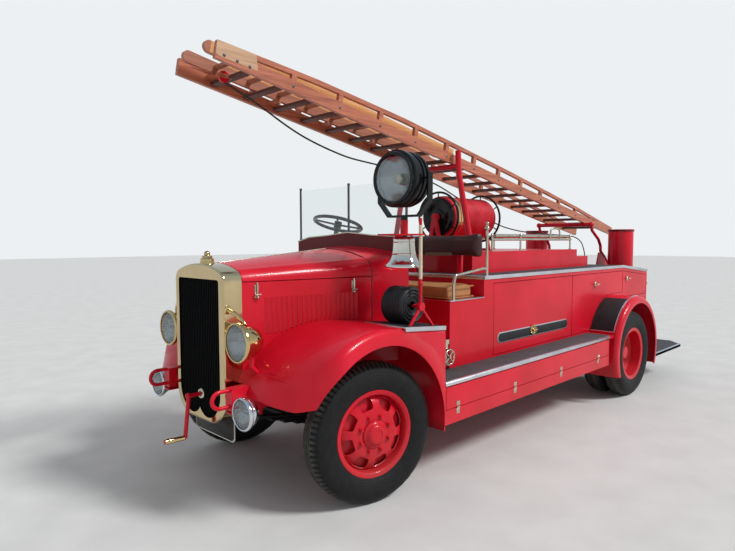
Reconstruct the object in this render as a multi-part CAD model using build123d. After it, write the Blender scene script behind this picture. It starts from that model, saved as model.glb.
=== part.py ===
from build123d import *
import os
from math import cos, sin, tan, radians, degrees, atan2, hypot, pi

# A 1930s open fire engine with an extension ladder, in millimetres.
# Work frame: x forward from the front axle, y to the vehicle's left, z up from the ground.
# Every node is moved forward by AXLE_X when it is written, which centres the whole engine on the origin.
os.makedirs("parts", exist_ok=True)

# Overall reach
FRONT_X = 1000          # tip of the starting crank's grip
REAR_X = -5360          # rear edge of the rear step
AXLE_X = -(FRONT_X + REAR_X) / 2
REST_STEER = -11.1      # the front wheels stand turned a little to the right

# Wheels and tyres
WHEELBASE = 3720
TYRE_R = 445
BEAD_R = 254
FLANGE_R = 275
BARREL_R = 240
RIM_HALF = 75
WHEEL_SIDES = {"left": 1, "right": -1}
KINGPIN_Y = 690
FRONT_OFFSET = 85       # wheel mid plane outside the kingpin
TWIN_YS = (925, 710)    # mid planes of the outer and inner rear wheels
HUB_R = 70
SPINDLE_R = 28
REAR_SPINDLE_R = 48
RUN_FIT = 0.05

# Chassis
RAIL_OUT = 430
RAIL_IN = 360
RAIL_Z = (640, 790)
RAIL_X = (-4850, 790)
WEB = 8
SPRING_Y = 395

# Front end
CRANK_Z = 680
GRILLE_X = 760
SHELL_HALF = 300
SHELL_DEPTH = 130
SHELL_TOP = 1508
GRILLE_TOP = 1413
GRILLE_HALF = 250
DASH_X = -300
BONNET_HALF = (300, 490)    # half-widths at the radiator and at the dash
LID_LOW = 1400
SCUTTLE_X = -540
SCUTTLE_HALF = 620
SHEET = 8

# Lamps: centre of the rim, left side
HEAD_LAMP = (745, 428, 1055)
HEAD_LAMP_R = 122
HEAD_LAMP_DEPTH = 165
FOG_LAMP = (780, 532, 665)
FOG_LAMP_R = 97

# Front wings: the arch and the crown share a centre
ARCH_C = (93, 461)
ARCH_R = 563
CROWN_R = 663
WING_Y = (438, 1000)
WING_REAR_X = -475

# Running boards and body
BOARD_Y = (750, 1000)
BOARD_Z = (675, 700)
SKIRT_Z = 415
FLAP_Z = (518, 668)
BODY_Y = 750
BODY_X = (-4780, -850)
SEAT_BOX_TOP = 1198
DECK_Z = 1362
DECK_FRONT = -1290
WALL = 25
REAR_WING_C = (-3745, 483)
REAR_WING_R = 571
REAR_WING_Y = (575, 1050)
REAR_ARCH_R = 500
REAR_WING_ROUND = 42
DOOR_TOP = 1300
DOOR_GAP = 5

# Ladder: its own frame climbs forward at LADDER_TILT from a point over the front axle
LADDER_TILT = 10.0
LADDER_Z = 2585
LADDER_HALF = (250, 290)    # outer half-widths at the head and at the foot
LADDER_U = (-5000, 765)


def put(name, *shapes):
    """Writes one node: one solid, or solids that do not touch."""
    moved = [Pos(AXLE_X, 0, 0) * shape for shape in shapes]
    solids = [solid for shape in moved for solid in shape.solids()]
    export_step(solids[0] if len(solids) == 1 else Compound(children=solids), f"parts/{name}.step")


def block(x, y, z):
    """A box between two limits on each axis."""
    size = [abs(pair[1] - pair[0]) for pair in (x, y, z)]
    centre = [(pair[1] + pair[0]) / 2 for pair in (x, y, z)]
    return Pos(*centre) * Box(*size)


def side_plate(points, y0, y1):
    """An outline in x and z, as thick as from y0 to y1."""
    outline = make_face(Polyline(*points, close=True))
    plane = Plane(origin=(0, y0, 0), x_dir=(1, 0, 0), z_dir=(0, -1, 0))
    return extrude(plane * outline, amount=y1 - y0, dir=(0, 1, 0))


def flat_plate(points, z0, z1):
    """An outline in x and y, as thick as from z0 to z1."""
    outline = make_face(Polyline(*points, close=True))
    return extrude(Pos(0, 0, z0) * outline, amount=z1 - z0, dir=(0, 0, 1))


def cross_plate(points, x0, x1):
    """An outline in y and z, as thick as from x0 to x1."""
    outline = make_face(Polyline(*points, close=True))
    plane = Plane(origin=(x0, 0, 0), x_dir=(0, 1, 0), z_dir=(1, 0, 0))
    return extrude(plane * outline, amount=x1 - x0, dir=(1, 0, 0))


def bar(start, end, radius):
    """A round bar between two points."""
    line = Vector(*end) - Vector(*start)
    plane = Plane(origin=start, z_dir=line.normalized())
    return extrude(plane * Circle(radius), amount=line.length)


def bent_bar(points, radius, bend):
    """A round bar along straight runs joined by arcs."""
    path = FilletPolyline(*points, radius=bend)
    plane = Plane(origin=path @ 0, z_dir=path % 0)
    return sweep(plane * Circle(radius), path=path)


def drum(centre, radius, y0, y1):
    """A round solid with its axis across the vehicle."""
    return bar((centre[0], y0, centre[1]), (centre[0], y1, centre[1]), radius)


def spun(profile):
    """A solid of revolution about the y axis, from (radius, y) points."""
    return revolve(make_face(Polyline(*profile, close=True)), axis=Axis.Y)


def flip(shape):
    """The same piece on the other side of the vehicle."""
    return mirror(shape, about=Plane.XZ)


def both(shape):
    return [shape, flip(shape)]


def largest(shape):
    """The main solid of a cut piece, without the offcuts on the far side of the cut."""
    return max(shape.solids(), key=lambda solid: solid.volume)


# Wheels and tyres

def tyre(mid):
    """One tyre about the y axis, its mid plane at y = mid."""
    half = [(BEAD_R, 62), (277, 62), (298, 84), (345, 95), (398, 89), (430, 72), (TYRE_R, 46)]
    points = [(r, mid + y) for r, y in half] + [(r, mid - y) for r, y in reversed(half)]
    return spun(points)


def front_wheel(side):
    """Rim, convex disc with hand holes and studs, hub and brake drum, about the kingpin's y axis."""
    mid = FRONT_OFFSET
    bore = SPINDLE_R + RUN_FIT
    hub_and_drum = [(bore, 70), (HUB_R, 70), (HUB_R, 106), (165, 106), (165, 71), (195, 71), (195, 118), (HUB_R, 118)]
    disc_inside = [(HUB_R, mid + 54), (160, mid + 54), (196, mid + 42), (BARREL_R, mid + 6)]
    disc_outside = [(BARREL_R, mid + 18), (205, mid + 52), (165, mid + 66), (HUB_R, mid + 66)]
    cap = [(HUB_R, mid + 84), (52, mid + 104), (0, mid + 104), (0, mid + 88), (bore, mid + 88)]
    shape = spun(hub_and_drum + disc_inside + rim_section(mid) + disc_outside + cap)
    for k in range(8):
        shape -= Rot(0, 45 * k, 0) * Pos(0, mid + 61, 196) * Box(62, 48, 30)
    for k in range(8):
        angle = radians(45 * k + 22.5)
        shape += drum((111 * cos(angle), 111 * sin(angle)), 14, mid + 60, mid + 86)
    return shape if side > 0 else flip(shape)


def rim_section(mid):
    """The rim's outline from its barrel's inner edge round the two flanges, in (radius, y)."""
    return [(BARREL_R, mid - RIM_HALF + 8), (FLANGE_R, mid - RIM_HALF), (FLANGE_R, mid - 62), (BEAD_R, mid - 62),
            (BEAD_R, mid + 62), (FLANGE_R, mid + 62), (FLANGE_R, mid + RIM_HALF), (BARREL_R, mid + RIM_HALF - 8)]


def place_front(shape, side):
    """Turns a piece from straight ahead to the rest steer, at one kingpin."""
    return Pos(0, side * KINGPIN_Y, TYRE_R) * Rot(0, 0, REST_STEER) * shape


def rear_wheels(side):
    """Two rims back to back on one hub, with the outer disc deeply dished, about the axle."""
    outer_mid, inner_mid = TWIN_YS
    seat = (outer_mid + inner_mid) / 2
    bore = REAR_SPINDLE_R + RUN_FIT
    hub_end = 560
    hub_and_drum = [(bore, hub_end), (82, hub_end), (82, hub_end + 54), (170, hub_end + 54), (170, hub_end - 20),
                    (200, hub_end - 20), (200, hub_end + 66), (82, hub_end + 66)]
    inner_disc = [(82, seat - 12), (205, seat - 12), (BARREL_R, seat - 70)]
    between = [(BARREL_R, seat - 58), (198, seat), (BARREL_R, seat + 58)]
    outer_disc = [(BARREL_R, seat + 70), (205, seat + 12), (82, seat + 12)]
    cap = [(82, seat + 34), (66, seat + 60), (62, seat + 106), (0, seat + 106), (0, seat + 30), (bore, seat + 30)]
    shape = spun(hub_and_drum + inner_disc + rim_section(inner_mid) + between + rim_section(outer_mid) + outer_disc + cap)
    for k in range(8):
        angle = radians(45 * k + 22.5)
        shape += drum((122 * cos(angle), 122 * sin(angle)), 14, seat + 10, seat + 40)
    return shape if side > 0 else flip(shape)


def place_rear(shape):
    return Pos(-WHEELBASE, 0, TYRE_R) * shape


for side_name, side in WHEEL_SIDES.items():
    put(f"front_wheel_{side_name}", place_front(front_wheel(side), side))
    front_tyre = tyre(FRONT_OFFSET) if side > 0 else flip(tyre(FRONT_OFFSET))
    put(f"front_tyre_{side_name}", place_front(front_tyre, side))
    put(f"rear_wheels_{side_name}", place_rear(rear_wheels(side)))
    put(f"rear_tyres_{side_name}", *[place_rear(tyre(side * y)) for y in TWIN_YS])


# Front axle, knuckles and steering

EYE_Z = (395, 495)
KINGPIN_R = 18
BEAM_Z = (350, 420)
ARM = 170
LEVER = 203
LEVER_Z = 532
ROD_R = 14

def front_axle():
    """A dropped beam with an eye at each kingpin and a flat pad under each spring."""
    outline = [(-640, 410), (-640, 480), (-520, 448), (-430, 432), (430, 432), (520, 448), (640, 480), (640, 410),
               (520, 372), (430, BEAM_Z[0]), (-430, BEAM_Z[0]), (-520, 372)]
    beam = cross_plate(outline, -28, 28)
    for x in (-28, 12):
        beam -= cross_plate([(-600, 432), (-430, 372), (430, 372), (600, 432), (430, 412), (-430, 412)], x, x + 16)
    for side in (1, -1):
        beam += block((-28, 28), (side * 630, side * 668), (410, 480))
        beam += bar((0, side * KINGPIN_Y, EYE_Z[0]), (0, side * KINGPIN_Y, EYE_Z[1]), 34)
        beam -= bar((0, side * KINGPIN_Y, EYE_Z[0] - 5), (0, side * KINGPIN_Y, EYE_Z[1] + 5), KINGPIN_R + RUN_FIT)
        beam += block((-60, 60), (side * (SPRING_Y - 32), side * (SPRING_Y + 32)), (425, 445))
    return beam


def knuckle(side):
    """Forked yoke with its kingpin, spindle and brake backplate, straight ahead, about the kingpin."""
    low, high = EYE_Z[0] - TYRE_R, EYE_Z[1] - TYRE_R
    shape = block((-32, 32), (-30, 58), (low - 33, low - 3)) + block((-32, 32), (-30, 58), (high + 3, high + 33))
    shape += block((-32, 32), (40, 58), (low - 33, high + 33))
    shape += Pos(0, 0, low - 33) * extrude(Circle(KINGPIN_R), amount=high - low + 66)
    shape += spun([(0, 50), (40, 50), (SPINDLE_R, 66), (SPINDLE_R, FRONT_OFFSET + 86), (0, FRONT_OFFSET + 86)])
    shape += spun([(30, 58), (192, 58), (192, 66), (30, 66)])
    # the steering arm runs rearward below the axle eye
    arm_z = low - 33
    shape += block((-ARM, -20), (-16, 16), (arm_z, arm_z + 22))
    shape += Pos(-ARM, 0, arm_z) * extrude(Circle(22), amount=22)
    shape -= Pos(-ARM, 0, arm_z - 1) * extrude(Circle(ROD_R - 4 + RUN_FIT), amount=24)
    shape = shape if side > 0 else flip(shape)
    if side < 0:
        lever_z = LEVER_Z - TYRE_R
        shape += block((-14, 14), (20, LEVER - 13), (lever_z - 8, lever_z + 8))
        shape += block((-32, 32), (-20, 34), (high + 3, lever_z + 8))
        shape += Pos(0, LEVER, lever_z - 8) * extrude(Circle(14), amount=16)
    return shape


for side_name, side in WHEEL_SIDES.items():
    put(f"knuckle_{side_name}", place_front(knuckle(side), side))

steer = radians(REST_STEER)
arm_end = {side: (-ARM * cos(steer), side * KINGPIN_Y - ARM * sin(steer)) for side in (1, -1)}
lever_end = (-LEVER * sin(steer), -KINGPIN_Y + LEVER * cos(steer))
ARM_Z = EYE_Z[0] - 33

def tie_rod():
    """A tube between the steering arms, with an upright pin into the left arm."""
    x = arm_end[1][0]
    shape = bar((x, arm_end[1][1] - 4, ARM_Z - 20), (x, arm_end[-1][1] + 4, ARM_Z - 20), ROD_R)
    shape += bar((x, arm_end[1][1], ARM_Z - 34), (x, arm_end[1][1], ARM_Z - 1), 20)
    shape += bar((x, arm_end[1][1], ARM_Z - 2), (x, arm_end[1][1], ARM_Z + 24), ROD_R - 4)
    shape += bar((x, arm_end[-1][1], ARM_Z - 34), (x, arm_end[-1][1], ARM_Z - 5), 20)
    return shape


DROP_X = -520
DROP_Z = LEVER_Z + LEVER * cos(steer)
DROP_Y = (-447, -435)
LINK_Y = -458
drop_end = (DROP_X + lever_end[0], LEVER_Z)

def drop_arm():
    """The steering box's arm, outside the right rail, on a shaft through the rail's web."""
    arm = Plane(origin=(DROP_X, DROP_Y[0], DROP_Z), x_dir=(1, 0, 0), z_dir=(0, -1, 0))
    angle = degrees(atan2(-(DROP_Z - LEVER_Z), lever_end[0]))
    outline = arm * (Rot(0, 0, angle) * (Pos(LEVER * 0.5, 0) * Rectangle(LEVER, 24)) + Circle(20))
    shape = extrude(outline, amount=DROP_Y[1] - DROP_Y[0], dir=(0, 1, 0))
    shape += drum(drop_end, 16, DROP_Y[0], DROP_Y[1])
    shape += drum((DROP_X, DROP_Z), 15, DROP_Y[0], -400)
    shape += drum(drop_end, 6, DROP_Y[0] - 20, DROP_Y[0] + 2)
    return shape


def drag_link():
    """The rod from the drop arm forward to the lever on the right knuckle."""
    front = (lever_end[0], LINK_Y, LEVER_Z)
    shape = bar((drop_end[0], LINK_Y, LEVER_Z), front, 10)
    shape += drum(drop_end, 15, DROP_Y[0] - 22, DROP_Y[0] - 0.3)
    shape -= drum(drop_end, 6 + RUN_FIT, DROP_Y[0] - 30, DROP_Y[0] + 2)
    shape += drum((lever_end[0], LEVER_Z), 14, LINK_Y - 11, LINK_Y + 11)
    return shape


put("front_axle", front_axle())
put("tie_rod", tie_rod())
put("drop_arm", drop_arm())
put("drag_link", drag_link())


# Steering column and wheel, on the right

WHEEL_CENTRE = (-785, -400, 1790)
COLUMN_FOOT = (-500, -372, 900)
COLUMN_ROOT = (-490, -368, 770)
WHEEL_RIM_R = 205
column_line = Vector(*WHEEL_CENTRE) - Vector(*COLUMN_FOOT)
column_plane = Plane(origin=WHEEL_CENTRE, x_dir=(0, 1, 0), z_dir=column_line.normalized())

def steering_column():
    """Steering box inside the right rail, and the tube up through the floor."""
    box = block((-600, -440), (-RAIL_OUT + WEB, -300), (652, 778))
    box += bar(COLUMN_ROOT, COLUMN_FOOT, 24)
    box += bar(COLUMN_FOOT, tuple(Vector(*WHEEL_CENTRE) - column_line.normalized() * 45), 20)
    return box - drum((DROP_X, DROP_Z), 15 + RUN_FIT, -500, -398)


def steering_wheel():
    """Four-spoked wheel with a round rim and a boss."""
    shape = Torus(WHEEL_RIM_R, 14)
    shape += Pos(0, 0, -40) * Cylinder(32, 60, align=(Align.CENTER, Align.CENTER, Align.MIN))
    for k in range(4):
        shape += Rot(0, 0, 90 * k + 45) * bar((20, 0, -6), (WHEEL_RIM_R, 0, 0), 8)
    return column_plane * shape


put("steering_column", steering_column())
put("steering_wheel", steering_wheel())


# Chassis frame, springs, rear axle and engine

CROSS_XS = (-1100, -1900, -2700, -4250, -4790)

CROSS_Z = 745
LOOP_X = RAIL_X[1] + 62
LOOP_Z = (684, 780)
JAW_PIN_X = -4915

def chassis_frame():
    """Two channel rails with dumb irons, radiator feet and spring hangers."""
    rail = block(RAIL_X, (RAIL_IN, RAIL_OUT), RAIL_Z)
    rail -= block((RAIL_X[0] - 10, RAIL_X[1] + 10), (RAIL_IN - 10, RAIL_OUT - WEB), (RAIL_Z[0] + WEB, RAIL_Z[1] - WEB))
    rail += block((RAIL_X[1] - 60, RAIL_X[1]), (RAIL_IN, RAIL_OUT), (660, 790))
    rail += block((640, 740), (SHELL_HALF, RAIL_IN), (700, 740))
    for spring_x in (600, -560, -3060, -4380):
        rail += block((spring_x - 22, spring_x + 22), (370, 424), (600, RAIL_Z[0] + 5))
    right = flip(rail) - drum((DROP_X, DROP_Z), 16, -RAIL_IN, -RAIL_OUT - 5)
    return [rail, right - bar(COLUMN_ROOT, COLUMN_FOOT, 26)]


def cross_members():
    """Tubes between the rails' webs, the tow loops and the rear towing jaw."""
    reach = RAIL_OUT - WEB
    pieces = [bar((x, -reach, CROSS_Z), (x, reach, CROSS_Z), 34) for x in CROSS_XS[:-1]]
    # the foremost tube also carries the crank's shaft
    front = bar((585, -reach, CRANK_Z), (585, reach, CRANK_Z), 30)
    pieces.append(front - bar((540, 0, CRANK_Z), (640, 0, CRANK_Z), 13 + RUN_FIT))
    # rear towing jaw on the last tube: two ears with a pin hole
    jaw = bar((CROSS_XS[-1], -reach, CROSS_Z), (CROSS_XS[-1], reach, CROSS_Z), 34)
    for z in (640, 700):
        jaw += block((-4950, -4800), (-45, 45), (z, z + 20))
    jaw += block((-4840, -4800), (-60, 60), (630, 735))
    pieces.append(jaw - bar((JAW_PIN_X, 0, 600), (JAW_PIN_X, 0, 760), 16))
    for side in (1, -1):
        path = Plane(origin=(0, side * 400, 0), x_dir=(1, 0, 0), z_dir=(0, -1, 0)) * (
            Line((RAIL_X[1], LOOP_Z[1]), (LOOP_X, LOOP_Z[1]))
            + ThreePointArc((LOOP_X, LOOP_Z[1]), (LOOP_X + 48, sum(LOOP_Z) / 2), (LOOP_X, LOOP_Z[0]))
            + Line((LOOP_X, LOOP_Z[0]), (RAIL_X[1], LOOP_Z[0])))
        start = Plane(origin=(RAIL_X[1], side * 400, LOOP_Z[1]), z_dir=(1, 0, 0))
        pieces.append(sweep(start * Circle(12), path=path))
    return pieces


def leaf_spring(centre_x, seat_z, reach, leaves):
    """A pack of flat leaves, longest at the top, its tips raised to the hangers."""
    tip_z = 588
    shape = None
    for k in range(leaves):
        z = seat_z + 12 * k
        share = 0.35 + 0.65 * k / (leaves - 1)
        rise = (tip_z - 12 - seat_z - 12 * (leaves - 1)) * share * share
        end = reach * share
        points = [(centre_x - end, z + rise), (centre_x - 70, z), (centre_x + 70, z), (centre_x + end, z + rise),
                  (centre_x + end, z + rise + 12), (centre_x + 70, z + 12), (centre_x - 70, z + 12),
                  (centre_x - end, z + rise + 12)]
        leaf = side_plate(points, SPRING_Y - 28, SPRING_Y + 28)
        shape = leaf if shape is None else shape + leaf
    for end in (centre_x - reach, centre_x + reach):
        shape += drum((end, tip_z - 6), 18, SPRING_Y - 28, SPRING_Y + 28) & block(
            (end - 30, end + 30), (0, 600), (500, 600))
    return shape


def rear_axle():
    """Axle case with its final drive, spring seats and the torque tube forward to the gearbox."""
    x, z = -WHEELBASE, TYRE_R
    shape = bar((x, -480, z), (x, 480, z), 58)
    shape += Pos(x, 0, z) * Sphere(165)
    shape += bar((x, 0, z), (-860, 0, 660), 45)
    for side in (1, -1):
        shape += drum((x, z), 190, side * 518, side * 528)
        shape += drum((x, z), 58, side * 470, side * 520)
        shape += drum((x, z), REAR_SPINDLE_R, side * 500, side * 820)
        shape += block((x - 60, x + 60), (side * (SPRING_Y - 32), side * (SPRING_Y + 32)), (z, z + 70))
    return shape


def engine():
    """The engine as one plain block, with the gearbox behind it."""
    shape = block((-240, 520), (-230, 230), (610, 1230))
    shape += block((-700, -240), (-160, 160), (600, 780))
    shape += bar((-890, 0, 660), (-690, 0, 660), 90)
    return shape


REAR_SEAT_Z = TYRE_R + 70
springs = both(leaf_spring(20, 445, 580, 5)) + both(leaf_spring(-WHEELBASE, REAR_SEAT_Z, 660, 5))
put("chassis_frame", *chassis_frame())
put("cross_members", *cross_members())
put("leaf_springs", *springs)
put("rear_axle", rear_axle() - engine())
put("engine_block", engine())


# Radiator, bonnet and scuttle

def at_x(x, shape):
    """Stands a drawing in y and z at a place along the vehicle."""
    return Plane(origin=(x, 0, 0), x_dir=(0, 1, 0), z_dir=(1, 0, 0)) * shape


def cross_face(edges, x):
    """A face from edges drawn in y and z, closed along the centre line and doubled, at a place along the vehicle."""
    start, end = edges @ 0, edges @ 1
    half = make_face(edges + Line(end, start))
    return at_x(x, half + mirror(half, about=Plane.YZ))


SHELL_FOOT = 517
SHELL_SHOULDER = 1448

def shell_face():
    """Outline of the radiator's surround: a wide round foot, upright sides, small shoulders and a low crown."""
    corner = (SHELL_HALF, SHELL_SHOULDER)
    edges = Polyline((-corner[0], corner[1]), (-SHELL_HALF, SHELL_FOOT), (SHELL_HALF, SHELL_FOOT), corner)
    face = make_face(edges + ThreePointArc(corner, (0, SHELL_TOP), (-corner[0], corner[1])))
    by_height = face.vertices().sort_by(Axis.Y)
    face = fillet(by_height[:2], 183)
    return fillet(face.vertices().sort_by(Axis.Y)[-2:], 70)


def mouth_outline():
    """Left half of the grille opening, with a lobe either side of a cusp at its foot."""
    edges = ThreePointArc((0, 596), (45, 558), (110, 548)) + ThreePointArc((110, 548), (215, 610), (GRILLE_HALF, 720))
    edges += Line((GRILLE_HALF, 720), (GRILLE_HALF, GRILLE_TOP - 20))
    edges += ThreePointArc((GRILLE_HALF, GRILLE_TOP - 20), (244, GRILLE_TOP - 6), (230, GRILLE_TOP))
    return edges + Line((230, GRILLE_TOP), (0, GRILLE_TOP))


def along(face, depth):
    """A face across the vehicle, as thick as depth forward of it."""
    return extrude(face, amount=depth, dir=(1, 0, 0))


def radiator_shell():
    """Polished surround with rounded shoulders, open in front, with a filler cap and a scalloped apron."""
    x0 = GRILLE_X - SHELL_DEPTH
    shape = along(at_x(x0, shell_face()), SHELL_DEPTH)
    shape = fillet(shape.faces().sort_by(Axis.X)[-1].edges(), 14)
    shape -= along(cross_face(mouth_outline(), x0 - 1), SHELL_DEPTH + 2)
    cap_z = SHELL_TOP - 12
    shape += bar((690, 0, cap_z), (690, 0, cap_z + 40), 42)
    shape += bar((690, 0, cap_z + 40), (690, 0, cap_z + 58), 32)
    shape += Pos(690, 0, cap_z + 70) * Sphere(20)
    return shape


SLAT_STEP = 21
SLAT = 6

def radiator_core():
    """The matrix with a row of upright slats on it, in the shell's mouth, with the crank's hole low down."""
    x0, face_x = GRILLE_X - SHELL_DEPTH, GRILLE_X - 18
    core = along(cross_face(mouth_outline(), x0), face_x - x0)
    front = along(cross_face(mouth_outline(), face_x - 1), 9)
    for k in range(-11, 12):
        y = k * SLAT_STEP
        core += front & block((face_x - 2, face_x + 10), (y - SLAT / 2, y + SLAT / 2), (500, 1450))
    return core - bar((x0 - 5, 0, CRANK_Z), (GRILLE_X, 0, CRANK_Z), 20)


BONNET_X = (DASH_X, GRILLE_X - SHELL_DEPTH)
LID_GAP = 5
LID_EDGE = 3

# columns: x, half-width, crown, mid y and z, haunch y and z, corner y and z
LID_SECTIONS = ((BONNET_X[1], BONNET_HALF[0], SHELL_TOP, 112, 1500, 222, 1476, 277, 1450),
                (BONNET_X[0], BONNET_HALF[1], 1588, 210, 1572, 400, 1528, 464, 1494))


def bonnet_half(x):
    """Half-width of the bonnet at x."""
    share = (BONNET_X[1] - x) / (BONNET_X[1] - BONNET_X[0])
    return BONNET_HALF[0] + share * (BONNET_HALF[1] - BONNET_HALF[0])


def lid_arcs(section, inset):
    """The rounded top of one half, from the lid's low edge to its edge by the centre line, drawn in by inset."""
    x, half, crown, mid_y, mid_z, haunch_y, haunch_z, corner_y, corner_z = section
    low = (half - inset, LID_LOW)
    haunch = (haunch_y - inset * 0.3, haunch_z - inset)
    edges = ThreePointArc(low, (corner_y - inset * 0.75, corner_z - inset * 0.65), haunch)
    return edges + ThreePointArc(haunch, (mid_y - inset * 0.1, mid_z - inset), (LID_EDGE, crown - inset))


def bonnet_lid():
    """Upper panel of the bonnet, left half, hinged along the centre line."""
    faces = []
    for section, end_gap in zip(LID_SECTIONS, (-LID_GAP, LID_GAP)):
        outer, inner = lid_arcs(section, 0), lid_arcs(section, SHEET)
        edges = outer + Line(outer @ 1, inner @ 1) + inner + Line(inner @ 0, outer @ 0)
        faces.append(at_x(section[0] + end_gap, make_face(edges)))
    return loft(faces)


FLAT_SLOPE = 4.7        # the flat top falls this much rearward, and meets the crown without a kink

def crown_point(angle, radius):
    """A point of the wing's crown, its angle counted up from straight ahead."""
    return (ARCH_C[0] + radius * cos(radians(angle)), ARCH_C[1] + radius * sin(radians(angle)))


def wing_top(x, inset=0):
    """Height of the flat top behind the crown."""
    start = crown_point(90 + FLAT_SLOPE, CROWN_R - inset)
    return start[1] + (x - start[0]) * tan(radians(FLAT_SLOPE))


def wing_crest(x):
    """Height of the wing's crown over x, either side of where it turns flat."""
    turn = crown_point(90 + FLAT_SLOPE, CROWN_R)
    return wing_top(x) if x < turn[0] else ARCH_C[1] + (CROWN_R ** 2 - (x - ARCH_C[0]) ** 2) ** 0.5


LOUVRES = 20
LOUVRE_PITCH = 34
LOUVRE_FRONT = 482
LOUVRE_STAND = 9
LOUVRE_Z = (1075, 1298)

def bonnet_side():
    """Upright side panel of the bonnet, left side, with its row of louvres."""
    x0, x1 = BONNET_X
    panel = flat_plate([(x1, BONNET_HALF[0] - SHEET), (x1, BONNET_HALF[0]), (x0, BONNET_HALF[1]),
                        (x0, BONNET_HALF[1] - SHEET)], 800, LID_LOW - LID_GAP)
    for k in range(LOUVRES):
        x = LOUVRE_FRONT - k * LOUVRE_PITCH
        front, rear = (x + 12, bonnet_half(x + 12) - 2), (x - 12, bonnet_half(x - 12) - 2)
        crest = (x - 11, bonnet_half(x - 11) + LOUVRE_STAND)
        panel += flat_plate([front, crest, rear], max(LOUVRE_Z[0], wing_crest(x - 12) + 3), LOUVRE_Z[1])
    return panel


SCUTTLE_LOW = 800
PILLAR_YS = (-600, 0, 600)
PILLAR_R = 9

BAND_X = (SCUTTLE_X - 8, SCUTTLE_X + 10)
BAND_TOP = ((0, 1711), (250, 1688), (480, 1676), (SCUTTLE_HALF + 6, 1642))
GLASS_TOP = 2072

# columns: x, half-width, crown, mid y and z, haunch y and z, corner y and z, shoulder z
SCUTTLE_SECTIONS = ((DASH_X, BONNET_HALF[1], 1588, 210, 1572, 400, 1528, 464, 1494, LID_LOW),
                    (SCUTTLE_X, SCUTTLE_HALF, 1606, 250, 1592, 480, 1564, 575, 1524, 1440))


def scuttle_half(section, inset):
    """Left half of the scuttle's outline, drawn in by inset, run lower where it is a cutter."""
    x, half, crown, mid_y, mid_z, haunch_y, haunch_z, corner_y, corner_z, shoulder = section
    low = SCUTTLE_LOW - (20 if inset else 0)
    haunch = (haunch_y - inset * 0.3, haunch_z - inset)
    edges = Line((0, low), (half - inset, low)) + Line((half - inset, low), (half - inset, shoulder))
    edges += ThreePointArc((half - inset, shoulder), (corner_y - inset * 0.75, corner_z - inset * 0.65), haunch)
    return edges + ThreePointArc(haunch, (mid_y - inset * 0.1, mid_z - inset), (0, crown - inset))


def scuttle_block(inset, over=0):
    """The scuttle's whole form, drawn in by inset, run past both ends where it is a cutter."""
    faces = [cross_face(scuttle_half(section, inset), section[0] + run)
             for section, run in zip(SCUTTLE_SECTIONS, (over, -over))]
    return loft(faces)


def band_outline(drop):
    """Outline of the upright band under the screen, in y and z."""
    right = [(y, z) for y, z in BAND_TOP]
    foot = (SCUTTLE_HALF + 6, 1642 - drop)
    return [(-y, z) for y, z in reversed(right[1:])] + right + [foot, (-foot[0], foot[1])]


def scuttle():
    """Dash, flared scuttle, the upright band under the screen and the three screen pillars."""
    half = BONNET_HALF[1]
    shape = scuttle_block(0) - scuttle_block(10, 2)
    shape += along(cross_face(scuttle_half(SCUTTLE_SECTIONS[0], 4), DASH_X - SHEET), SHEET) & block(
        (DASH_X - SHEET, DASH_X), (-half, half), (SCUTTLE_LOW, 1600))
    cavity = cross_face(scuttle_half(SCUTTLE_SECTIONS[1], 10), BAND_X[0] - 1)
    shape += cross_plate(band_outline(150), *BAND_X) - along(cavity, 30)
    for y in PILLAR_YS:
        shape += bar((SCUTTLE_X + 2, y, 1625), (SCUTTLE_X + 2, y, GLASS_TOP + 10), PILLAR_R)
    return shape - windscreen()


def windscreen():
    """One flat frameless pane standing on the band, let into the pillars."""
    right = [(y, z) for y, z in BAND_TOP[:-1]] + [(PILLAR_YS[-1] + 4, 1662)]
    outline = [(-y, z) for y, z in reversed(right[1:])] + right
    outline += [(PILLAR_YS[-1] + 4, GLASS_TOP), (-PILLAR_YS[-1] - 4, GLASS_TOP)]
    return cross_plate(outline, SCUTTLE_X - 3, SCUTTLE_X + 3)


put("radiator_shell", radiator_shell())
put("radiator_core", radiator_core())
put("bonnet_sides", *both(bonnet_side()))
put("bonnet_lid_left", bonnet_lid())
put("bonnet_lid_right", flip(bonnet_lid()))
put("scuttle", scuttle())
put("windscreen", windscreen())


# Wings, running boards and their flaps

NOSE_ANGLE = 24
REAR_SHEET = 5

def wing_block(inset, y0, y1):
    """The wing's side outline, drawn in by inset, as wide as from y0 to y1."""
    nose = NOSE_ANGLE - (4 if inset else 0)
    start, middle, top = [crown_point(angle, CROWN_R - inset) for angle in (nose, 57, 90 + FLAT_SLOPE)]
    rear = WING_REAR_X + (REAR_SHEET if inset else 0)
    low = 380 - (80 if inset else 0)
    plane = Plane(origin=(0, y0, 0), x_dir=(1, 0, 0), z_dir=(0, -1, 0))
    edge = ThreePointArc(start, middle, top) + Polyline(top, (rear, wing_top(rear, inset)), (rear, low), (start[0], low),
                                                        start)
    return extrude(plane * make_face(edge), amount=y1 - y0, dir=(0, 1, 0))


def head_lamp(centre, radius, depth):
    """A stepped bowl lamp facing forward, with a thick rim round a dished front."""
    x, y, z = centre
    rim, waist = radius * 0.9, radius * 0.82
    profile = [(0, -depth), (radius * 0.22, -depth * 0.97), (radius * 0.5, -depth * 0.84), (radius * 0.72, -depth * 0.6),
               (waist, -depth * 0.34), (waist, -24), (rim, -22), (rim, -10), (radius, -8), (radius, 10), (rim, 16),
               (rim - 4, 4), (radius * 0.7, -16), (radius * 0.4, -30), (0, -36)]
    shape = revolve(make_face(Polyline(*profile, close=True)), axis=Axis.Y)
    return Pos(x, y, z) * Rot(0, 0, -90) * shape


WING_ROUND = 50

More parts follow.
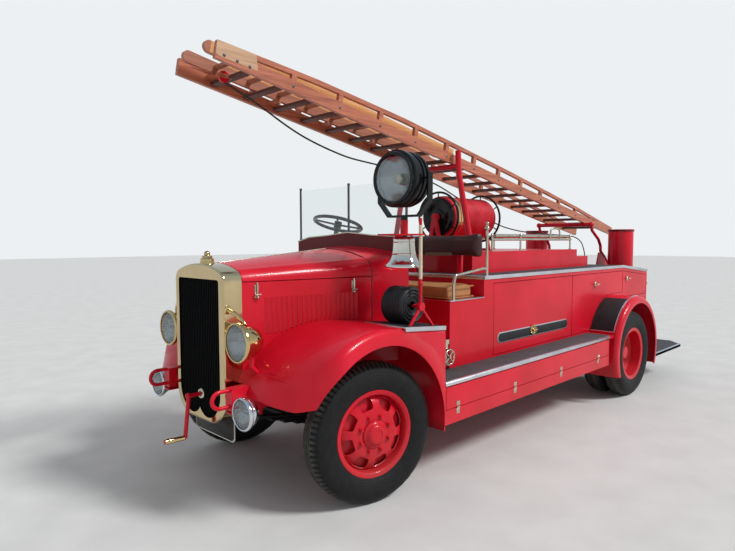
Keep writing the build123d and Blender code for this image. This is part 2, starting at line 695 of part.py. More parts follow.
def round_edge(shape, y, radius):
    """Rounds the wing's outer edge along its crown and its flat top."""
    edges = [edge for edge in shape.edges() if abs(edge.center().Y - y) < 1 and edge.center().Z > 900]
    return fillet(edges, radius)


def head_lamp_bracket():
    """Bent stay from the wing's inner edge up to the back of the head lamp."""
    x, y, z = HEAD_LAMP
    foot = (600, WING_Y[0] - 4, 770)
    stay = bent_bar([foot, (604, WING_Y[0] - 4, 850), (650, y, 900), (x - 100, y, z - 100), (x - 96, y, z - 40)], 14, 30)
    return stay - head_lamp(HEAD_LAMP, HEAD_LAMP_R, HEAD_LAMP_DEPTH) - block((500, 700), (300, 500), (600, 792))


def front_wing():
    """Left wing: crowned sheet over the wheel to the bonnet's foot, outer valance with a round arch, inner valance."""
    inner, outer = WING_Y
    reach = BONNET_HALF[0]
    shape = round_edge(wing_block(0, reach, outer), outer, WING_ROUND)
    shape -= wing_block(SHEET, reach - 1, inner)
    shape -= round_edge(wing_block(SHEET, inner + SHEET, outer - SHEET), outer - SHEET, WING_ROUND - SHEET)
    # the nose stays open and the valances stop above the axle and the steering
    shape -= drum(ARCH_C, ARCH_R, outer - 60, outer + 20)
    shape -= block((ARCH_C[0], 900), (reach - 1, outer + 1), (200, 731))
    shape -= block((-600, 900), (reach - 1, inner + SHEET + 4), (200, 740))
    shape -= block((WING_REAR_X - 10, WING_REAR_X + 20), (reach - 1, 560), (200, 740))
    shape -= block((600, 900), (reach - 1, inner), (600, RAIL_Z[1]))
    # it ends against the bonnet's side, the dash and the scuttle
    line = [(BONNET_X[1], BONNET_HALF[0]), (BONNET_X[0], BONNET_HALF[1])]
    shape -= flat_plate([line[0], line[1], (line[1][0], 0), (line[0][0], 0)], 200, 1200)
    shape -= block((-700, DASH_X), (0, BONNET_HALF[1]), (200, 1200))
    shape -= scuttle_block(0)
    shape += bonnet_sill()
    return shape + head_lamp_bracket()


def bonnet_sill():
    """Shelf from the inner valance to under the bonnet side."""
    return flat_plate([(BONNET_X[1], BONNET_HALF[0] - 20), (BONNET_X[1], WING_Y[0] + 2), (-60, WING_Y[0] + 2),
                       (BONNET_X[0], BONNET_HALF[1]), (BONNET_X[0], WING_Y[0] - 40)], RAIL_Z[1], 800)


def running_board():
    """Left board, its under-tray and the fixed strip of skirt below the flap."""
    x0, x1 = -3215, WING_REAR_X
    skirt_end = -3105
    cut = drum(REAR_WING_C, REAR_WING_R, 700, 1060)
    board = block((x0 - 60, x1), BOARD_Y, BOARD_Z) - cut
    strip = block((skirt_end, x1), (BOARD_Y[1] - 20, BOARD_Y[1]), (SKIRT_Z, FLAP_Z[0] - DOOR_GAP))
    tray = block((skirt_end, x1), (590, BOARD_Y[1] - 20), (SKIRT_Z, SKIRT_Z + 10))
    back = block((skirt_end, x1), (590, 602), (SKIRT_Z, BOARD_Z[0]))
    lid = block((skirt_end, x1), (590, BOARD_Y[0]), (BOARD_Z[0] - 10, BOARD_Z[0]))
    lid += block((skirt_end, x1), (BOARD_Y[0] - 10, BOARD_Y[0] + 10), (BOARD_Z[0] - 10, BOARD_Z[0]))
    ends = block((skirt_end, skirt_end + 10), (590, BOARD_Y[1]), (SKIRT_Z, BOARD_Z[0]))
    ends += block((x1 - 10, x1), (590, BOARD_Y[1]), (SKIRT_Z, BOARD_Z[0]))
    shape = board + strip + tray + back + lid + ends
    for x in (-700, -1500, -2300, -2950):
        shape += block((x - 20, x + 20), (RAIL_OUT, 592), (640, BOARD_Z[0] - 10))
    return shape


def skirt_flap():
    """Drop-down flap of the long tool locker under the board."""
    return block((-3105 + 14, WING_REAR_X - 14), (BOARD_Y[1] - 20, BOARD_Y[1]), FLAP_Z)


def rear_wing():
    """Left wing: half-round sheet from the wheel house wall out to a deep outer flange."""
    cx, cz = REAR_WING_C
    y0, y1 = REAR_WING_Y
    disc = drum(REAR_WING_C, REAR_WING_R, y0, y1)
    disc = fillet(disc.faces().sort_by(Axis.Y)[-1].edges(), REAR_WING_ROUND)
    hollow = drum(REAR_WING_C, REAR_WING_R - SHEET, y0 + SHEET, y1 - SHEET)
    hollow = fillet(hollow.faces().sort_by(Axis.Y)[-1].edges(), REAR_WING_ROUND - SHEET)
    arch = drum(REAR_WING_C, REAR_ARCH_R, y1 - 40, y1 + 10)
    low = block((cx - 700, cx + 700), (y0 - 10, y1 + 10), (-200, 270))
    shape = disc - hollow - arch - low
    # the wheel house wall ends at the body floor
    shape -= block((cx - 700, cx + 700), (y0 - 10, y0 + SHEET + 1), (-200, RAIL_Z[1]))
    return shape


put("front_wings", *both(front_wing()))
put("running_boards", *both(running_board()))
put("skirt_flap_left", skirt_flap())
put("skirt_flap_right", flip(skirt_flap()))
put("rear_wings", *both(rear_wing()))


# Body, lockers, deck, step and seats

DOOR_XS = ((-1435, -2805), (-2815, -4035), (-4045, -4750))
DOOR_BOTTOM = 722
REAR_DOOR_BOTTOM = 1010
DECK_KINK_X = -4045
DECK_REAR_Z = 1290

def deck_height(x):
    """Top of the deck, which falls a little behind the last kink."""
    if x >= DECK_KINK_X:
        return DECK_Z
    return DECK_Z - (DECK_Z - DECK_REAR_Z) * (DECK_KINK_X - x) / (DECK_KINK_X - BODY_X[0])


def door_opening(index, grow):
    """The space of one left door, grown by a gap."""
    x_front, x_rear = DOOR_XS[index]
    low = DOOR_BOTTOM if index < 2 else REAR_DOOR_BOTTOM
    drop = DECK_Z - DOOR_TOP
    front, rear = x_front + grow, x_rear - grow
    points = [(rear, low - grow), (rear, deck_height(rear) - drop + grow), (front, deck_height(front) - drop + grow),
              (front, low - grow)]
    space = side_plate(points, BODY_Y - WALL, BODY_Y)
    if index == 1:
        space -= drum(REAR_WING_C, REAR_WING_R + 12 - grow, BODY_Y - 60, BODY_Y + 60)
        space -= block((x_rear - 20, REAR_WING_C[0]), (BODY_Y - 60, BODY_Y + 60), (600, 1066 - grow))
    return space


def locker_door(index):
    """A left door with its handle's boss."""
    shape = door_opening(index, 0)
    x_front, x_rear = DOOR_XS[index]
    handle_x, handle_z = ((-2047, 860), (-3324, 1193), (-4158, 1215))[index]
    shape += drum((handle_x, handle_z), 26, BODY_Y - 5, BODY_Y + 6)
    shape += drum((handle_x, handle_z), 9, BODY_Y, BODY_Y + 34)
    shape += block((handle_x - 36, handle_x + 36), (BODY_Y + 24, BODY_Y + 38), (handle_z - 7, handle_z + 7))
    return shape


def body_shell():
    """Hollow body on the rails: seat box in front, lockers behind, deck on top, open where the doors are."""
    x0, x1 = BODY_X
    low = BOARD_Z[1]
    outer = side_plate([(x0, low), (x0, DECK_REAR_Z), (DECK_KINK_X, DECK_Z), (DECK_FRONT, DECK_Z),
                        (DECK_FRONT, SEAT_BOX_TOP), (x1, SEAT_BOX_TOP), (x1, low)], -BODY_Y, BODY_Y)
    inner = side_plate([(x0 + WALL, low - 5), (x0 + WALL, DECK_REAR_Z - WALL), (DECK_KINK_X, DECK_Z - WALL),
                        (DECK_FRONT - WALL, DECK_Z - WALL), (DECK_FRONT - WALL, SEAT_BOX_TOP - WALL),
                        (x1 - WALL, SEAT_BOX_TOP - WALL), (x1 - WALL, low - 5)], -BODY_Y + WALL, BODY_Y - WALL)
    shell = outer - inner
    shell -= block((x0 - 1, x1 + 1), (-560, 560), (low - 1, RAIL_Z[1]))
    # floor on the rails, cut away over the rear wheels
    shell += block((x0 + WALL - 2, x1 - WALL + 2), (-BODY_Y + WALL - 2, BODY_Y - WALL + 2), (RAIL_Z[1], RAIL_Z[1] + 20))
    for side in (1, -1):
        shell -= drum(REAR_WING_C, REAR_WING_R, side * REAR_WING_Y[0], side * 1100)
    for index in range(3):
        opening = door_opening(index, DOOR_GAP)
        shell -= opening
        shell -= flip(opening)
    # cab floor from the dash to the seat box
    shell += block((x1 - 1, WING_REAR_X), (-700, 700), (RAIL_Z[1], SCUTTLE_LOW))
    shell += block((WING_REAR_X - 1, DASH_X), (-RAIL_OUT, RAIL_OUT), (RAIL_Z[1], SCUTTLE_LOW))
    return shell - bar(COLUMN_ROOT, COLUMN_FOOT, 34)


BOX_TOP = 1550
BOX_HALF = 490
STEP_GAP = 4

def deck_box():
    """Raised locker along the deck, lower at its rear end."""
    x0, x_step, x1, step_z = -3712, -3445, -1500, 1474
    points = [(x0, DECK_Z), (x0, step_z), (x_step, step_z), (x_step, BOX_TOP), (x1, BOX_TOP), (x1, DECK_Z)]
    shape = side_plate(points, -BOX_HALF, BOX_HALF)
    hollow = [(x0 + 20, DECK_Z + 15), (x0 + 20, step_z - 20), (x_step + 20, step_z - 20),
              (x_step + 20, BOX_TOP - 20), (x1 - 20, BOX_TOP - 20), (x1 - 20, DECK_Z + 15)]
    return shape - side_plate(hollow, -BOX_HALF + 20, BOX_HALF - 20)


def rear_step():
    """Platform behind the rear wheels with cut corners, hung from the rails on four hangers."""
    z0, z1 = 330, 360
    outline = [(-4250, 1030), (-5180, 1030), (REAR_X, 880), (REAR_X, -880), (-5180, -1030), (-4250, -1030)]
    shape = flat_plate(outline, z0, z1)
    shape -= drum(REAR_WING_C, REAR_WING_R + STEP_GAP, -1100, 1100)
    shape -= flat_plate([(-4249, 560), (-4249, -560), (-4500, -560), (-4500, 560)], z0 - 1, z1 + 1)
    for side in (1, -1):
        shape += block((-4700, -4640), (side * 400, side * 412), (z0 + 10, RAIL_Z[0]))
        shape += block((-4720, -4620), (side * 370, side * 420), (RAIL_Z[0] - 12, RAIL_Z[0]))
        shape += block((-5280, -4600), (side * 388, side * 424), (z0 - 35, z0 + 2))
    return shape


def seat_cushion():
    return block((-1240, -905), (-700, 700), (SEAT_BOX_TOP, 1305))


def seat_back():
    """Upright back on three stays from the deck's front wall."""
    shape = block((-1330, -1240), (-736, 736), (1505, 1710))
    for y in (-500, 0, 500):
        shape += block((-1330, -1300), (y - 20, y + 20), (DECK_Z, 1510))
    return shape


put("body_shell", body_shell())
for side_name, side in WHEEL_SIDES.items():
    for index in range(3):
        door = locker_door(index)
        put(f"locker_door_{side_name}_{index + 1}", door if side > 0 else flip(door))
put("deck_box", deck_box())
put("rear_step", rear_step())
put("seat_cushion", seat_cushion())
put("seat_back", seat_back())


# Lamps, bell and crank

def lamps():
    """Head lamps on the wings' stays, fog lamps under the dumb irons and two tail lamps."""
    pieces = []
    for side in (1, -1):
        x, y, z = FOG_LAMP
        head = head_lamp(HEAD_LAMP, HEAD_LAMP_R, HEAD_LAMP_DEPTH)
        fog = head_lamp(FOG_LAMP, FOG_LAMP_R, 90)
        fog += bar((x - 42, RAIL_OUT, z + 50), (x - 42, y, z + 50), 12)
        tail = bar((BODY_X[0], 700, 1120), (BODY_X[0] - 44, 700, 1120), 42)
        tail += bar((BODY_X[0] - 40, 700, 1120), (BODY_X[0] - 62, 700, 1120), 34)
        pieces += [piece if side > 0 else flip(piece) for piece in (head, fog, tail)]
    return pieces


def crank():
    """Starting handle: shaft through the radiator's foot, arm hanging, brass grip pointing forward."""
    shape = bar((545, 0, CRANK_Z), (840, 0, CRANK_Z), 13)
    shape += bar((835, 0, CRANK_Z), (865, 0, 420), 13)
    shape += Pos(838, 0, CRANK_Z) * Sphere(20)
    shape += bar((865, 0, 422), (FRONT_X, 0, 427), 14)
    return shape


LAMP_AXIS = (-310, 780)
POLE = (-300, 930)
SHELF_Z = (1680, 1690)
COIL_AXLE = (-300, 1222)
COIL_R = 125
COIL_Y = (680, 870)

def lamp_bracket():
    """Shelf on the scuttle's shoulder with the searchlight's socket on it and the bell's stem under it."""
    x, y = LAMP_AXIS
    shelf = flat_plate([(-140, 700), (-140, 860), (POLE[0] + 30, POLE[1] + 15), (POLE[0] - 30, POLE[1] + 15),
                        (BAND_X[1], 630), (BAND_X[1], 540), (-470, 540)], *SHELF_Z)
    shelf -= bar((POLE[0], POLE[1], 1600), (POLE[0], POLE[1], 1750), POLE_R)
    shelf += block((BAND_X[1], -475), (545, 585), (1490, SHELF_Z[0] + 2))
    shelf += bar((x, y, SHELF_Z[1] - 2), (x, y, SOCKET_TOP), 26)
    shelf += bar((x, y, SHELF_Z[0] + 2), (x, y, BELL_TOP), 14)
    pillar = (SCUTTLE_X + 2, PILLAR_YS[-1])
    return shelf - scuttle_block(0) - bar((*pillar, 1600), (*pillar, 1800), PILLAR_R)


POLE_R = 10
SOCKET_TOP = 1780
BELL_TOP = 1672

def hose_stand():
    """A-shaped stand on the wing with the coil's boss, and the upright pole to the lamp's shelf."""
    x, z = COIL_AXLE
    y = POLE[1]
    shape = drum((x, z), 28, y - 16, y + 16)
    shape += bar((x, y, z), (POLE[0], y, z + 150), 11)
    shape += Pos(POLE[0], y, z + 150) * Sphere(18)
    shape += bar((POLE[0], y, z + 150), (POLE[0], y, 1790), POLE_R)
    shape += drum((x, z), 12, COIL_Y[1] - 2, y)
    for foot in (-160, -445):
        shape += bar((x, y, z), (foot, y, 1060), 11)
    # the feet stand on the wing's flat top
    top = [(WING_REAR_X - 30, wing_top(WING_REAR_X - 30)), (ARCH_C[0], wing_top(ARCH_C[0])), (ARCH_C[0], 900),
           (WING_REAR_X - 30, 900)]
    return shape - side_plate(top, y - 60, y + 60)


def suction_hose():
    """A coil of ribbed hose on the wing, standing on edge on the stand's axle."""
    shape = drum(COIL_AXLE, COIL_R, *COIL_Y) - drum(COIL_AXLE, 62, COIL_Y[0] - 5, COIL_Y[1] - 30)
    return shape - drum(COIL_AXLE, 12, COIL_Y[1] - 2, COIL_Y[1] + 5)


put("lamps", *lamps())
put("crank", crank())
put("lamp_bracket", lamp_bracket())
put("hose_stand", hose_stand())
put("suction_hose", suction_hose())


def bell():
    """A cast bell, open below, with its clapper."""
    x, y = LAMP_AXIS
    outer = [(0, BELL_TOP), (34, 1668), (58, 1650), (70, 1610), (76, 1560), (92, 1520), (122, 1485), (128, 1472)]
    inner = [(120, 1472), (84, 1516), (66, 1560), (60, 1610), (50, 1640), (0, 1656)]
    profile = make_face(Polyline(*[(r, z, 0) for r, z in outer + inner], close=True))
    solid = revolve(profile, axis=Axis.Y)
    return Pos(x, y, 0) * Rot(90, 0, 0) * solid


put("bell", bell())

LAMP_Z = 2045
ARM_OUT = 222
ARM_THICK = 14

def searchlight_yoke():
    """Fork that turns on the socket and carries the lamp between two arms."""
    x, y = LAMP_AXIS
    shape = bar((x, y, SOCKET_TOP + 0.3), (x, y, 1812), 22)
    arm_out, arm_in, sill = ARM_OUT, ARM_OUT - ARM_THICK, 1800
    fork = [(-arm_out, LAMP_Z + 30), (-arm_out, 1900), (-arm_out + 90, sill), (arm_out - 90, sill), (arm_out, 1900),
            (arm_out, LAMP_Z + 30), (arm_in, LAMP_Z + 30), (arm_in, 1906), (arm_in - 84, sill + ARM_THICK),
            (-arm_in + 84, sill + ARM_THICK), (-arm_in, 1906), (-arm_in, LAMP_Z + 30)]
    shape += Pos(0, y, 0) * cross_plate(fork, x - 22, x + 22)
    for side in (1, -1):
        shape -= bar((x, y + side * (arm_in - 20), LAMP_Z), (x, y + side * (arm_out + 5), LAMP_Z), 8 + RUN_FIT)
    return shape


def searchlight_head():
    """Drum lamp with a domed back, facing forward, on two trunnions."""
    x, y = LAMP_AXIS
    profile = [(0, -150), (70, -140), (110, -110), (120, -80), (172, -62), (172, -40), (180, -38), (180, -28),
               (173, -26), (174, 0), (182, 2), (182, 12), (175, 14), (176, 50), (185, 52), (185, 92), (168, 98),
               (162, 84), (120, 56), (60, 38), (0, 32)]
    head = Rot(0, 0, -90) * revolve(make_face(Polyline(*profile, close=True)), axis=Axis.Y)
    for side in (1, -1):
        head += bar((0, side * 160, 0), (0, side * (ARM_OUT - 3), 0), 8)
    return Pos(x, y, LAMP_Z) * head


put("searchlight_yoke", searchlight_yoke())
put("searchlight_head", searchlight_head())


# Hose reel, gallows and rear fittings

REEL_Z = 1863
REEL_X = (-2345, -1650)

def hose_reel():
    """Drum wound with hose, between two spoked hoops, its axle along the vehicle."""
    x0, x1 = REEL_X
    profile = [(0, x0 - 60), (AXLE_R, x0 - 60), (AXLE_R, x0), (175, x0), (175, x0 + 20), (190, x0 + 20),
               (190, x1 - 20), (175, x1 - 20), (175, x1), (AXLE_R, x1), (AXLE_R, x1 + 60), (0, x1 + 60)]
    shape = Rot(0, 0, -90) * spun(profile)
    for x in (x0 + 10, x1 - 10):
        hoop = Rot(0, 0, -90) * Pos(0, x, 0) * revolve(Pos(HOOP_R, 0) * Circle(10), axis=Axis.Y)
        for k in range(6):
            hoop += Pos(x, 0, 0) * Rot(60 * k + 30, 0, 0) * bar((0, 150, 0), (0, HOOP_R, 0), 7)
        shape += hoop
    return Pos(0, 0, REEL_Z) * shape


AXLE_R = 16
HOOP_R = 225

GALLOWS_X = -1550
BRACKET_X = -4130
ROPE_END = (-4720, 0, 1360)
ROLLER_DROP = 22.7

def ladder_line(x):
    """Height of the ladder's lower edge over x."""
    return LADDER_Z + x * tan(radians(LADDER_TILT))


def below_deck():
    """The space under the deck's rear slope, used to seat what stands on it."""
    x0 = BODY_X[0]
    return side_plate([(x0 - 50, DECK_REAR_Z - 4), (x0, DECK_REAR_Z), (DECK_KINK_X, DECK_Z), (DECK_KINK_X + 300, DECK_Z),
                       (DECK_KINK_X + 300, 1000), (x0 - 50, 1000)], -800, 800)


def gallows():
    """Two leaning legs with a roller bar under the ladder, and the reel's two bearing stands."""
    x = GALLOWS_X
    shape = None
    for side in (1, -1):
        leg = bent_bar([(x, side * 452, BOX_TOP - 10), (x, side * 310, 2220), (x, side * 300, 2420)], 25, 120)
        shape = leg if shape is None else shape + leg
    roller_z = ladder_line(x) - ROLLER_DROP
    shape += bar((x, -302, roller_z), (x, 302, roller_z), 22)
    return shape - block((x - 60, x + 60), (-600, 600), (1400, BOX_TOP))


def reel_stand():
    """A-shaped stand at each end of the reel."""
    pieces = []
    for x in (REEL_X[0] - 40, REEL_X[1] + 40):
        stand = block((x - 10, x + 10), (-60, 60), (1550, 1570))
        stand += cross_plate([(-90, 1550), (-26, REEL_Z), (26, REEL_Z), (90, 1550), (60, 1550), (0, 1780), (-60, 1550)],
                             x - 10, x + 10)
        stand += bar((x - 12, 0, REEL_Z), (x + 12, 0, REEL_Z), 32)
        stand -= bar((x - 20, 0, REEL_Z), (x + 20, 0, REEL_Z), AXLE_R + RUN_FIT)
        pieces.append(stand)
    return pieces


def rear_bracket():
    """Two S-bent arms with gussets, joined by the cross bar under the ladder's foot."""
    x, y = BRACKET_X, 335
    bar_z = ladder_line(x) - ROLLER_DROP
    arm = bent_bar([(x, y, bar_z), (-4160, y, 1763), (-4342, y, 1659), (-4405, y, 1580), (-4410, y, 1515),
                    (-4541, y, 1433), (-4700, y, 1290)], 17, 28)
    arm += Pos(x, y, bar_z) * Sphere(30)
    arm += side_plate([(-4350, 1500), (-4440, 1490), (-4730, 1290), (-4270, 1290)], y - 6, y + 6)
    shape = arm + flip(arm) + bar((x, -y, bar_z), (x, y, bar_z), 22)
    stud = bar((ROPE_END[0], 0, 1270), ROPE_END, 14) + bar((ROPE_END[0], 0, 1270), (ROPE_END[0], 0, 1304), 30)
    return [shape - below_deck(), stud - below_deck()]


def rear_drums():
    """Two upright canisters at the rear corners of the deck."""
    shape = bar((-4470, 550, 1316), (-4470, 550, 1750), 140)
    shape += bar((-4470, 550, 1750), (-4470, 550, 1775), 146)
    return both(shape - below_deck())


PIPE_R = 11
POST_AT = (-1347, 737)
DECK_RAIL = ((-3320, -2310, -1830), 470, 1655)
VALVE = (-780, 800, 802)

def arm_rail():
    """Left arm rail: an upright post with a finial behind the seat, and the rail forward and down to the seat box."""
    x, y = POST_AT
    shape = bar((x, y, DECK_Z), (x, y, 1770), PIPE_R)
    shape += Pos(x, y, 1742) * Sphere(20)
    shape += Pos(x, y, 1782) * Sphere(13)
    shape += bent_bar([(x, y, 1425), (-1290, y, 1425), (-1130, y, 1407), (-935, y, 1388), (-909, y, 1320),
                       (-909, y, SEAT_BOX_TOP)], PIPE_R, 22)
    for foot in ((x, y, DECK_Z), (-909, y, SEAT_BOX_TOP)):
        shape += bar(foot, (foot[0], foot[1], foot[2] + 14), 13)
    return shape


def deck_rails():
    """Two pipes along the raised locker, one behind the other, on three posts."""
    xs, y, z = DECK_RAIL
    shape = bar((xs[0] - 20, y, z), (xs[-1] + 20, y, z), PIPE_R)
    shape += bar((xs[0] - 60, y - 80, z + 32), (xs[-1] - 160, y - 80, z + 32), 19)
    for x in xs:
        shape += bar((x, y, BOX_TOP), (x, y, z + 40), 9)
        shape += bar((x, y, BOX_TOP), (x, y, BOX_TOP + 8), 17)
        shape += Pos(x, y, z + 42) * Sphere(13)
    for x in xs[:2]:
        shape += bar((x, y, z + 24), (x, y - 80, z + 24), 8)
    return shape


def hand_wheel_valve():
    """Valve ahead of the seat box: pipe, elbow, hand wheel facing outwards and an upright capped branch."""
    x, y, z = VALVE
    branch_y = y - 32
    shape = bent_bar([(BODY_X[1], 660, 766), (x, 660, 766), (x, branch_y, 766)], 17, 24)
    shape += bar((x, branch_y, z), (x, y + 12, z), 8)
    shape += bar((x, branch_y - 11, 766), (x, branch_y + 11, 766), 30)
    shape += bar((x, branch_y, 766), (x, branch_y, 905), 17) + bar((x, branch_y, 900), (x, branch_y, 932), 26)
    shape += Pos(x, y, z) * Rot(90, 0, 0) * Torus(56, 7)
    for k in range(4):
        shape += Pos(x, y, z) * Rot(0, 90 * k + 45, 0) * bar((5, 0, 0), (56, 0, 0), 6)
    return shape


put("pipework", *both(arm_rail()), *both(deck_rails()), hand_wheel_valve())
put("hose_reel", hose_reel())
put("gallows", gallows(), *reel_stand())
put("rear_bracket", *rear_bracket())
put("rear_drums", *rear_drums())


# Ladder

ladder_plane = Plane(origin=(0, 0, LADDER_Z), x_dir=(cos(radians(LADDER_TILT)), 0, sin(radians(LADDER_TILT))),
                     z_dir=(0, -1, 0))
RAIL_HEIGHT = 80
RAIL_THICK = 30
TRUSS_TOP = ((-5000, 92), (-4000, 140), (-2500, 172), (-900, 184), (0, 158), (765, 108))
CAP_HEIGHT = 32
CHEEK_U = 495
POST_FIRST = 192
POST_STEP = 415
FLY_HALF = 145
FLY_U = (-1700, 790)
FLY_W = (60, 135)
GUIDE_US = (-1450, -950, -450, 50, 550)
SLIDE_GAP = 0.4


ladder_up = Vector(-sin(radians(LADDER_TILT)), 0, cos(radians(LADDER_TILT)))


def ladder_side(points, y0, y1):
    """A piece of the ladder's side, drawn along the ladder and up from it."""
    outline = make_face(Polyline(*points, close=True))
    plane = Plane(origin=ladder_plane.origin + Vector(0, y0, 0), x_dir=ladder_plane.x_dir, z_dir=(0, -1, 0))
    return extrude(plane * outline, amount=y1 - y0, dir=(0, 1, 0))


def ladder_box(u, y, w):
    return ladder_side([(u[0], w[0]), (u[1], w[0]), (u[1], w[1]), (u[0], w[1])], y[0], y[1])


def truss_height(u):
    """Height of the bowed top rail above the bottom edge, at u along the ladder."""
    for (u0, h0), (u1, h1) in zip(TRUSS_TOP, TRUSS_TOP[1:]):
        if u0 <= u <= u1:
            return h0 + (h1 - h0) * (u - u0) / (u1 - u0)
    return TRUSS_TOP[0][1]


def ladder_main():
    """Trussed main section: deep lower rails, bowed upper rails, posts between them and flat rungs."""
    u0, u1 = LADDER_U
    half = LADDER_HALF[0]
    top = [(u, h) for u, h in TRUSS_TOP]
    under = [(u, h - CAP_HEIGHT) for u, h in reversed(TRUSS_TOP)]
    side = ladder_side(top + under, half - RAIL_THICK, half)
    side += ladder_box((u0, u1), (half - RAIL_THICK, half), (0, RAIL_HEIGHT))
    u = POST_FIRST
    while u > u0 + 200:
        side += ladder_box((u - 20, u + 20), (half - RAIL_THICK, half), (RAIL_HEIGHT - 5, truss_height(u) - 5))
        u -= POST_STEP
    # the head of each side is sheeted from rail to rail
    side += ladder_side([(CHEEK_U, RAIL_HEIGHT - 5), (u1, RAIL_HEIGHT - 5), (u1, truss_height(u1) - 5),
                         (CHEEK_U, truss_height(CHEEK_U) - 5)], half - RAIL_THICK + 6, half - 6)
    shape = side + flip(side)
    # pulley for the hauling line, hung on the foremost rung but one
    sheave_u, sheave_w = 560, 12
    axle = ladder_plane.origin + ladder_plane.x_dir * sheave_u + ladder_up * sheave_w
    shape += drum((axle.X, axle.Z), 36, -9, 9)
    for y in (-16, 10):
        shape += ladder_side([(500, 14), (600, -2), (600, 26), (500, 34)], y, y + 6)
    shape += drum((axle.X, axle.Z), 8, -16, 16)
    count = 21
    for k in range(count):
        u = u1 - 260 - 256 * k
        shape += ladder_box((u - 24, u + 24), (-half + RAIL_THICK - 5, half - RAIL_THICK + 5), (14, 34))
    for u in GUIDE_US:
        guide = ladder_box((u - 25, u + 25), (FLY_HALF - 30, half - RAIL_THICK + 5), (44, FLY_W[0] - SLIDE_GAP))
        shape += guide + flip(guide)
    return shape


def ladder_fly():
    """Plain extending section between the main sides, with horned tips."""
    u0, u1 = FLY_U
    low, high = FLY_W
    rail = ladder_box((u0, u1 - 37), (FLY_HALF - 28, FLY_HALF), FLY_W)
    tip = ladder_plane.origin + ladder_plane.x_dir * (u1 - 37) + ladder_up * ((low + high) / 2)
    rail += drum((tip.X, tip.Z), (high - low) / 2, FLY_HALF - 28, FLY_HALF)
    shape = rail + flip(rail)
    for k in range(9):
        u = u1 - 230 - 256 * k
        shape += ladder_box((u - 16, u + 16), (-FLY_HALF + 20, FLY_HALF - 20), (88, 108))
    return shape


put("ladder_main", ladder_main())
put("ladder_fly", ladder_fly())


# Hauling rope: from the ladder's pulley rearward under the ladder, down to a stud on the deck

ROPE_R = 6.5
ROPE = [(548, 0, 2662), (377, -10, 2608), (212, -22, 2541), (46, -44, 2475), (-123, -60, 2416), (-296, -64, 2368),
        (-472, -80, 2334), (-649, -108, 2311), (-828, -113, 2298), (-1007, -132, 2290), (-1186, -140, 2277),
        (-1365, -137, 2263), (-1544, -146, 2244), (-1720, -171, 2213), (-1895, -181, 2176), (-2067, -199, 2131),
        (-2240, -221, 2084), (-2411, -221, 2029), (-2581, -233, 1972), (-2750, -237, 1909), (-2919, -227, 1848),
        (-3093, -226, 1805), (-3270, -219, 1777), (-3448, -198, 1753), (-3626, -180, 1739), (-3804, -166, 1730),
        (-3981, -132, 1723), (-4159, -104, 1715), (-4335, -78, 1710), (-4463, -48, 1697), (-4575, -27, 1667),
        (-4666, -17, 1608), (-4708, -6, 1512), (-4718, 2, 1430), (ROPE_END[0], 0, ROPE_END[2] - 2)]

def hauling_rope():
    """The rope as straight runs and the largest arcs that they take."""
    points = [Vector(*point) for point in ROPE]
    runs = [b - a for a, b in zip(points, points[1:])]
    radii = [0.45 * min(a.length, b.length) / tan(radians(a.get_angle(b)) / 2) for a, b in zip(runs, runs[1:])]
    path = FilletPolyline(*ROPE, radius=radii)
    shape = sweep(Plane(origin=path @ 0, z_dir=path % 0) * Circle(ROPE_R), path=path)
    section = pi * ROPE_R ** 2
    print("rope radii", [round(radius) for radius in radii])
    print("rope length", round(path.length), "volume ratio", round(shape.volume / (section * path.length), 4))
    return shape


put("hauling_rope", hauling_rope())
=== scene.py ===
# %% [markdown]
# A 1930s open fire engine.
# The CAD model of the engine comes in as a fixed frame: it gives the wheels, the wings, the lockers and
# everything that moves. This notebook dresses it: paint, timber, leather, rubber and plated metal on the
# CAD pieces, and the small things that a frame leaves out, such as trims, lenses, tread and wound hose. All
# lengths are in metres, and every place is measured from the front axle: x forward, y to the engine's left.

# %% Frame
import bpy
import bmesh
from math import radians, pi, cos, sin, tan, atan2, hypot
from mathutils import Matrix, Vector


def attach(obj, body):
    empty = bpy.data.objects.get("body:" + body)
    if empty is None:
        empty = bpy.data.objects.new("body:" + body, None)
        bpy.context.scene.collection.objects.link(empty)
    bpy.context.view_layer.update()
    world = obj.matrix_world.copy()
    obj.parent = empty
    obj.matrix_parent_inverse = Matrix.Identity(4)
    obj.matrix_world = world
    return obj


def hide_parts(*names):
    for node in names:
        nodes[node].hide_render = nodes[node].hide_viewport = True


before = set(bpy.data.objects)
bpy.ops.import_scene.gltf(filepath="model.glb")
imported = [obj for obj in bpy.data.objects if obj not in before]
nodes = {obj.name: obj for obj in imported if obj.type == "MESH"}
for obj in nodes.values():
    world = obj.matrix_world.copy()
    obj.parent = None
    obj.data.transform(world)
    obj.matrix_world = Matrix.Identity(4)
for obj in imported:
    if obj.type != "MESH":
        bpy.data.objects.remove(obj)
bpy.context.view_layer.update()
FRONT_AXLE = 2.180      # the front axle's x in the frame, whose origin is under the engine's middle


def at(x, y, z):
    """A place measured from the front axle, as the frame counts it."""
    return Vector((x + FRONT_AXLE, y, z))


# %% [markdown]
# The camera.
# It stands where the photographer stood: 3 m from the front left wing, at the height of the eyes, looking
# down by 3.4 degrees with a 28 mm lens. Such a wide lens makes the near wheel large and the tail small, so
# the lens matters as much as the direction. The place was found by fitting the wheels' ellipses and the
# straight edges of the body.

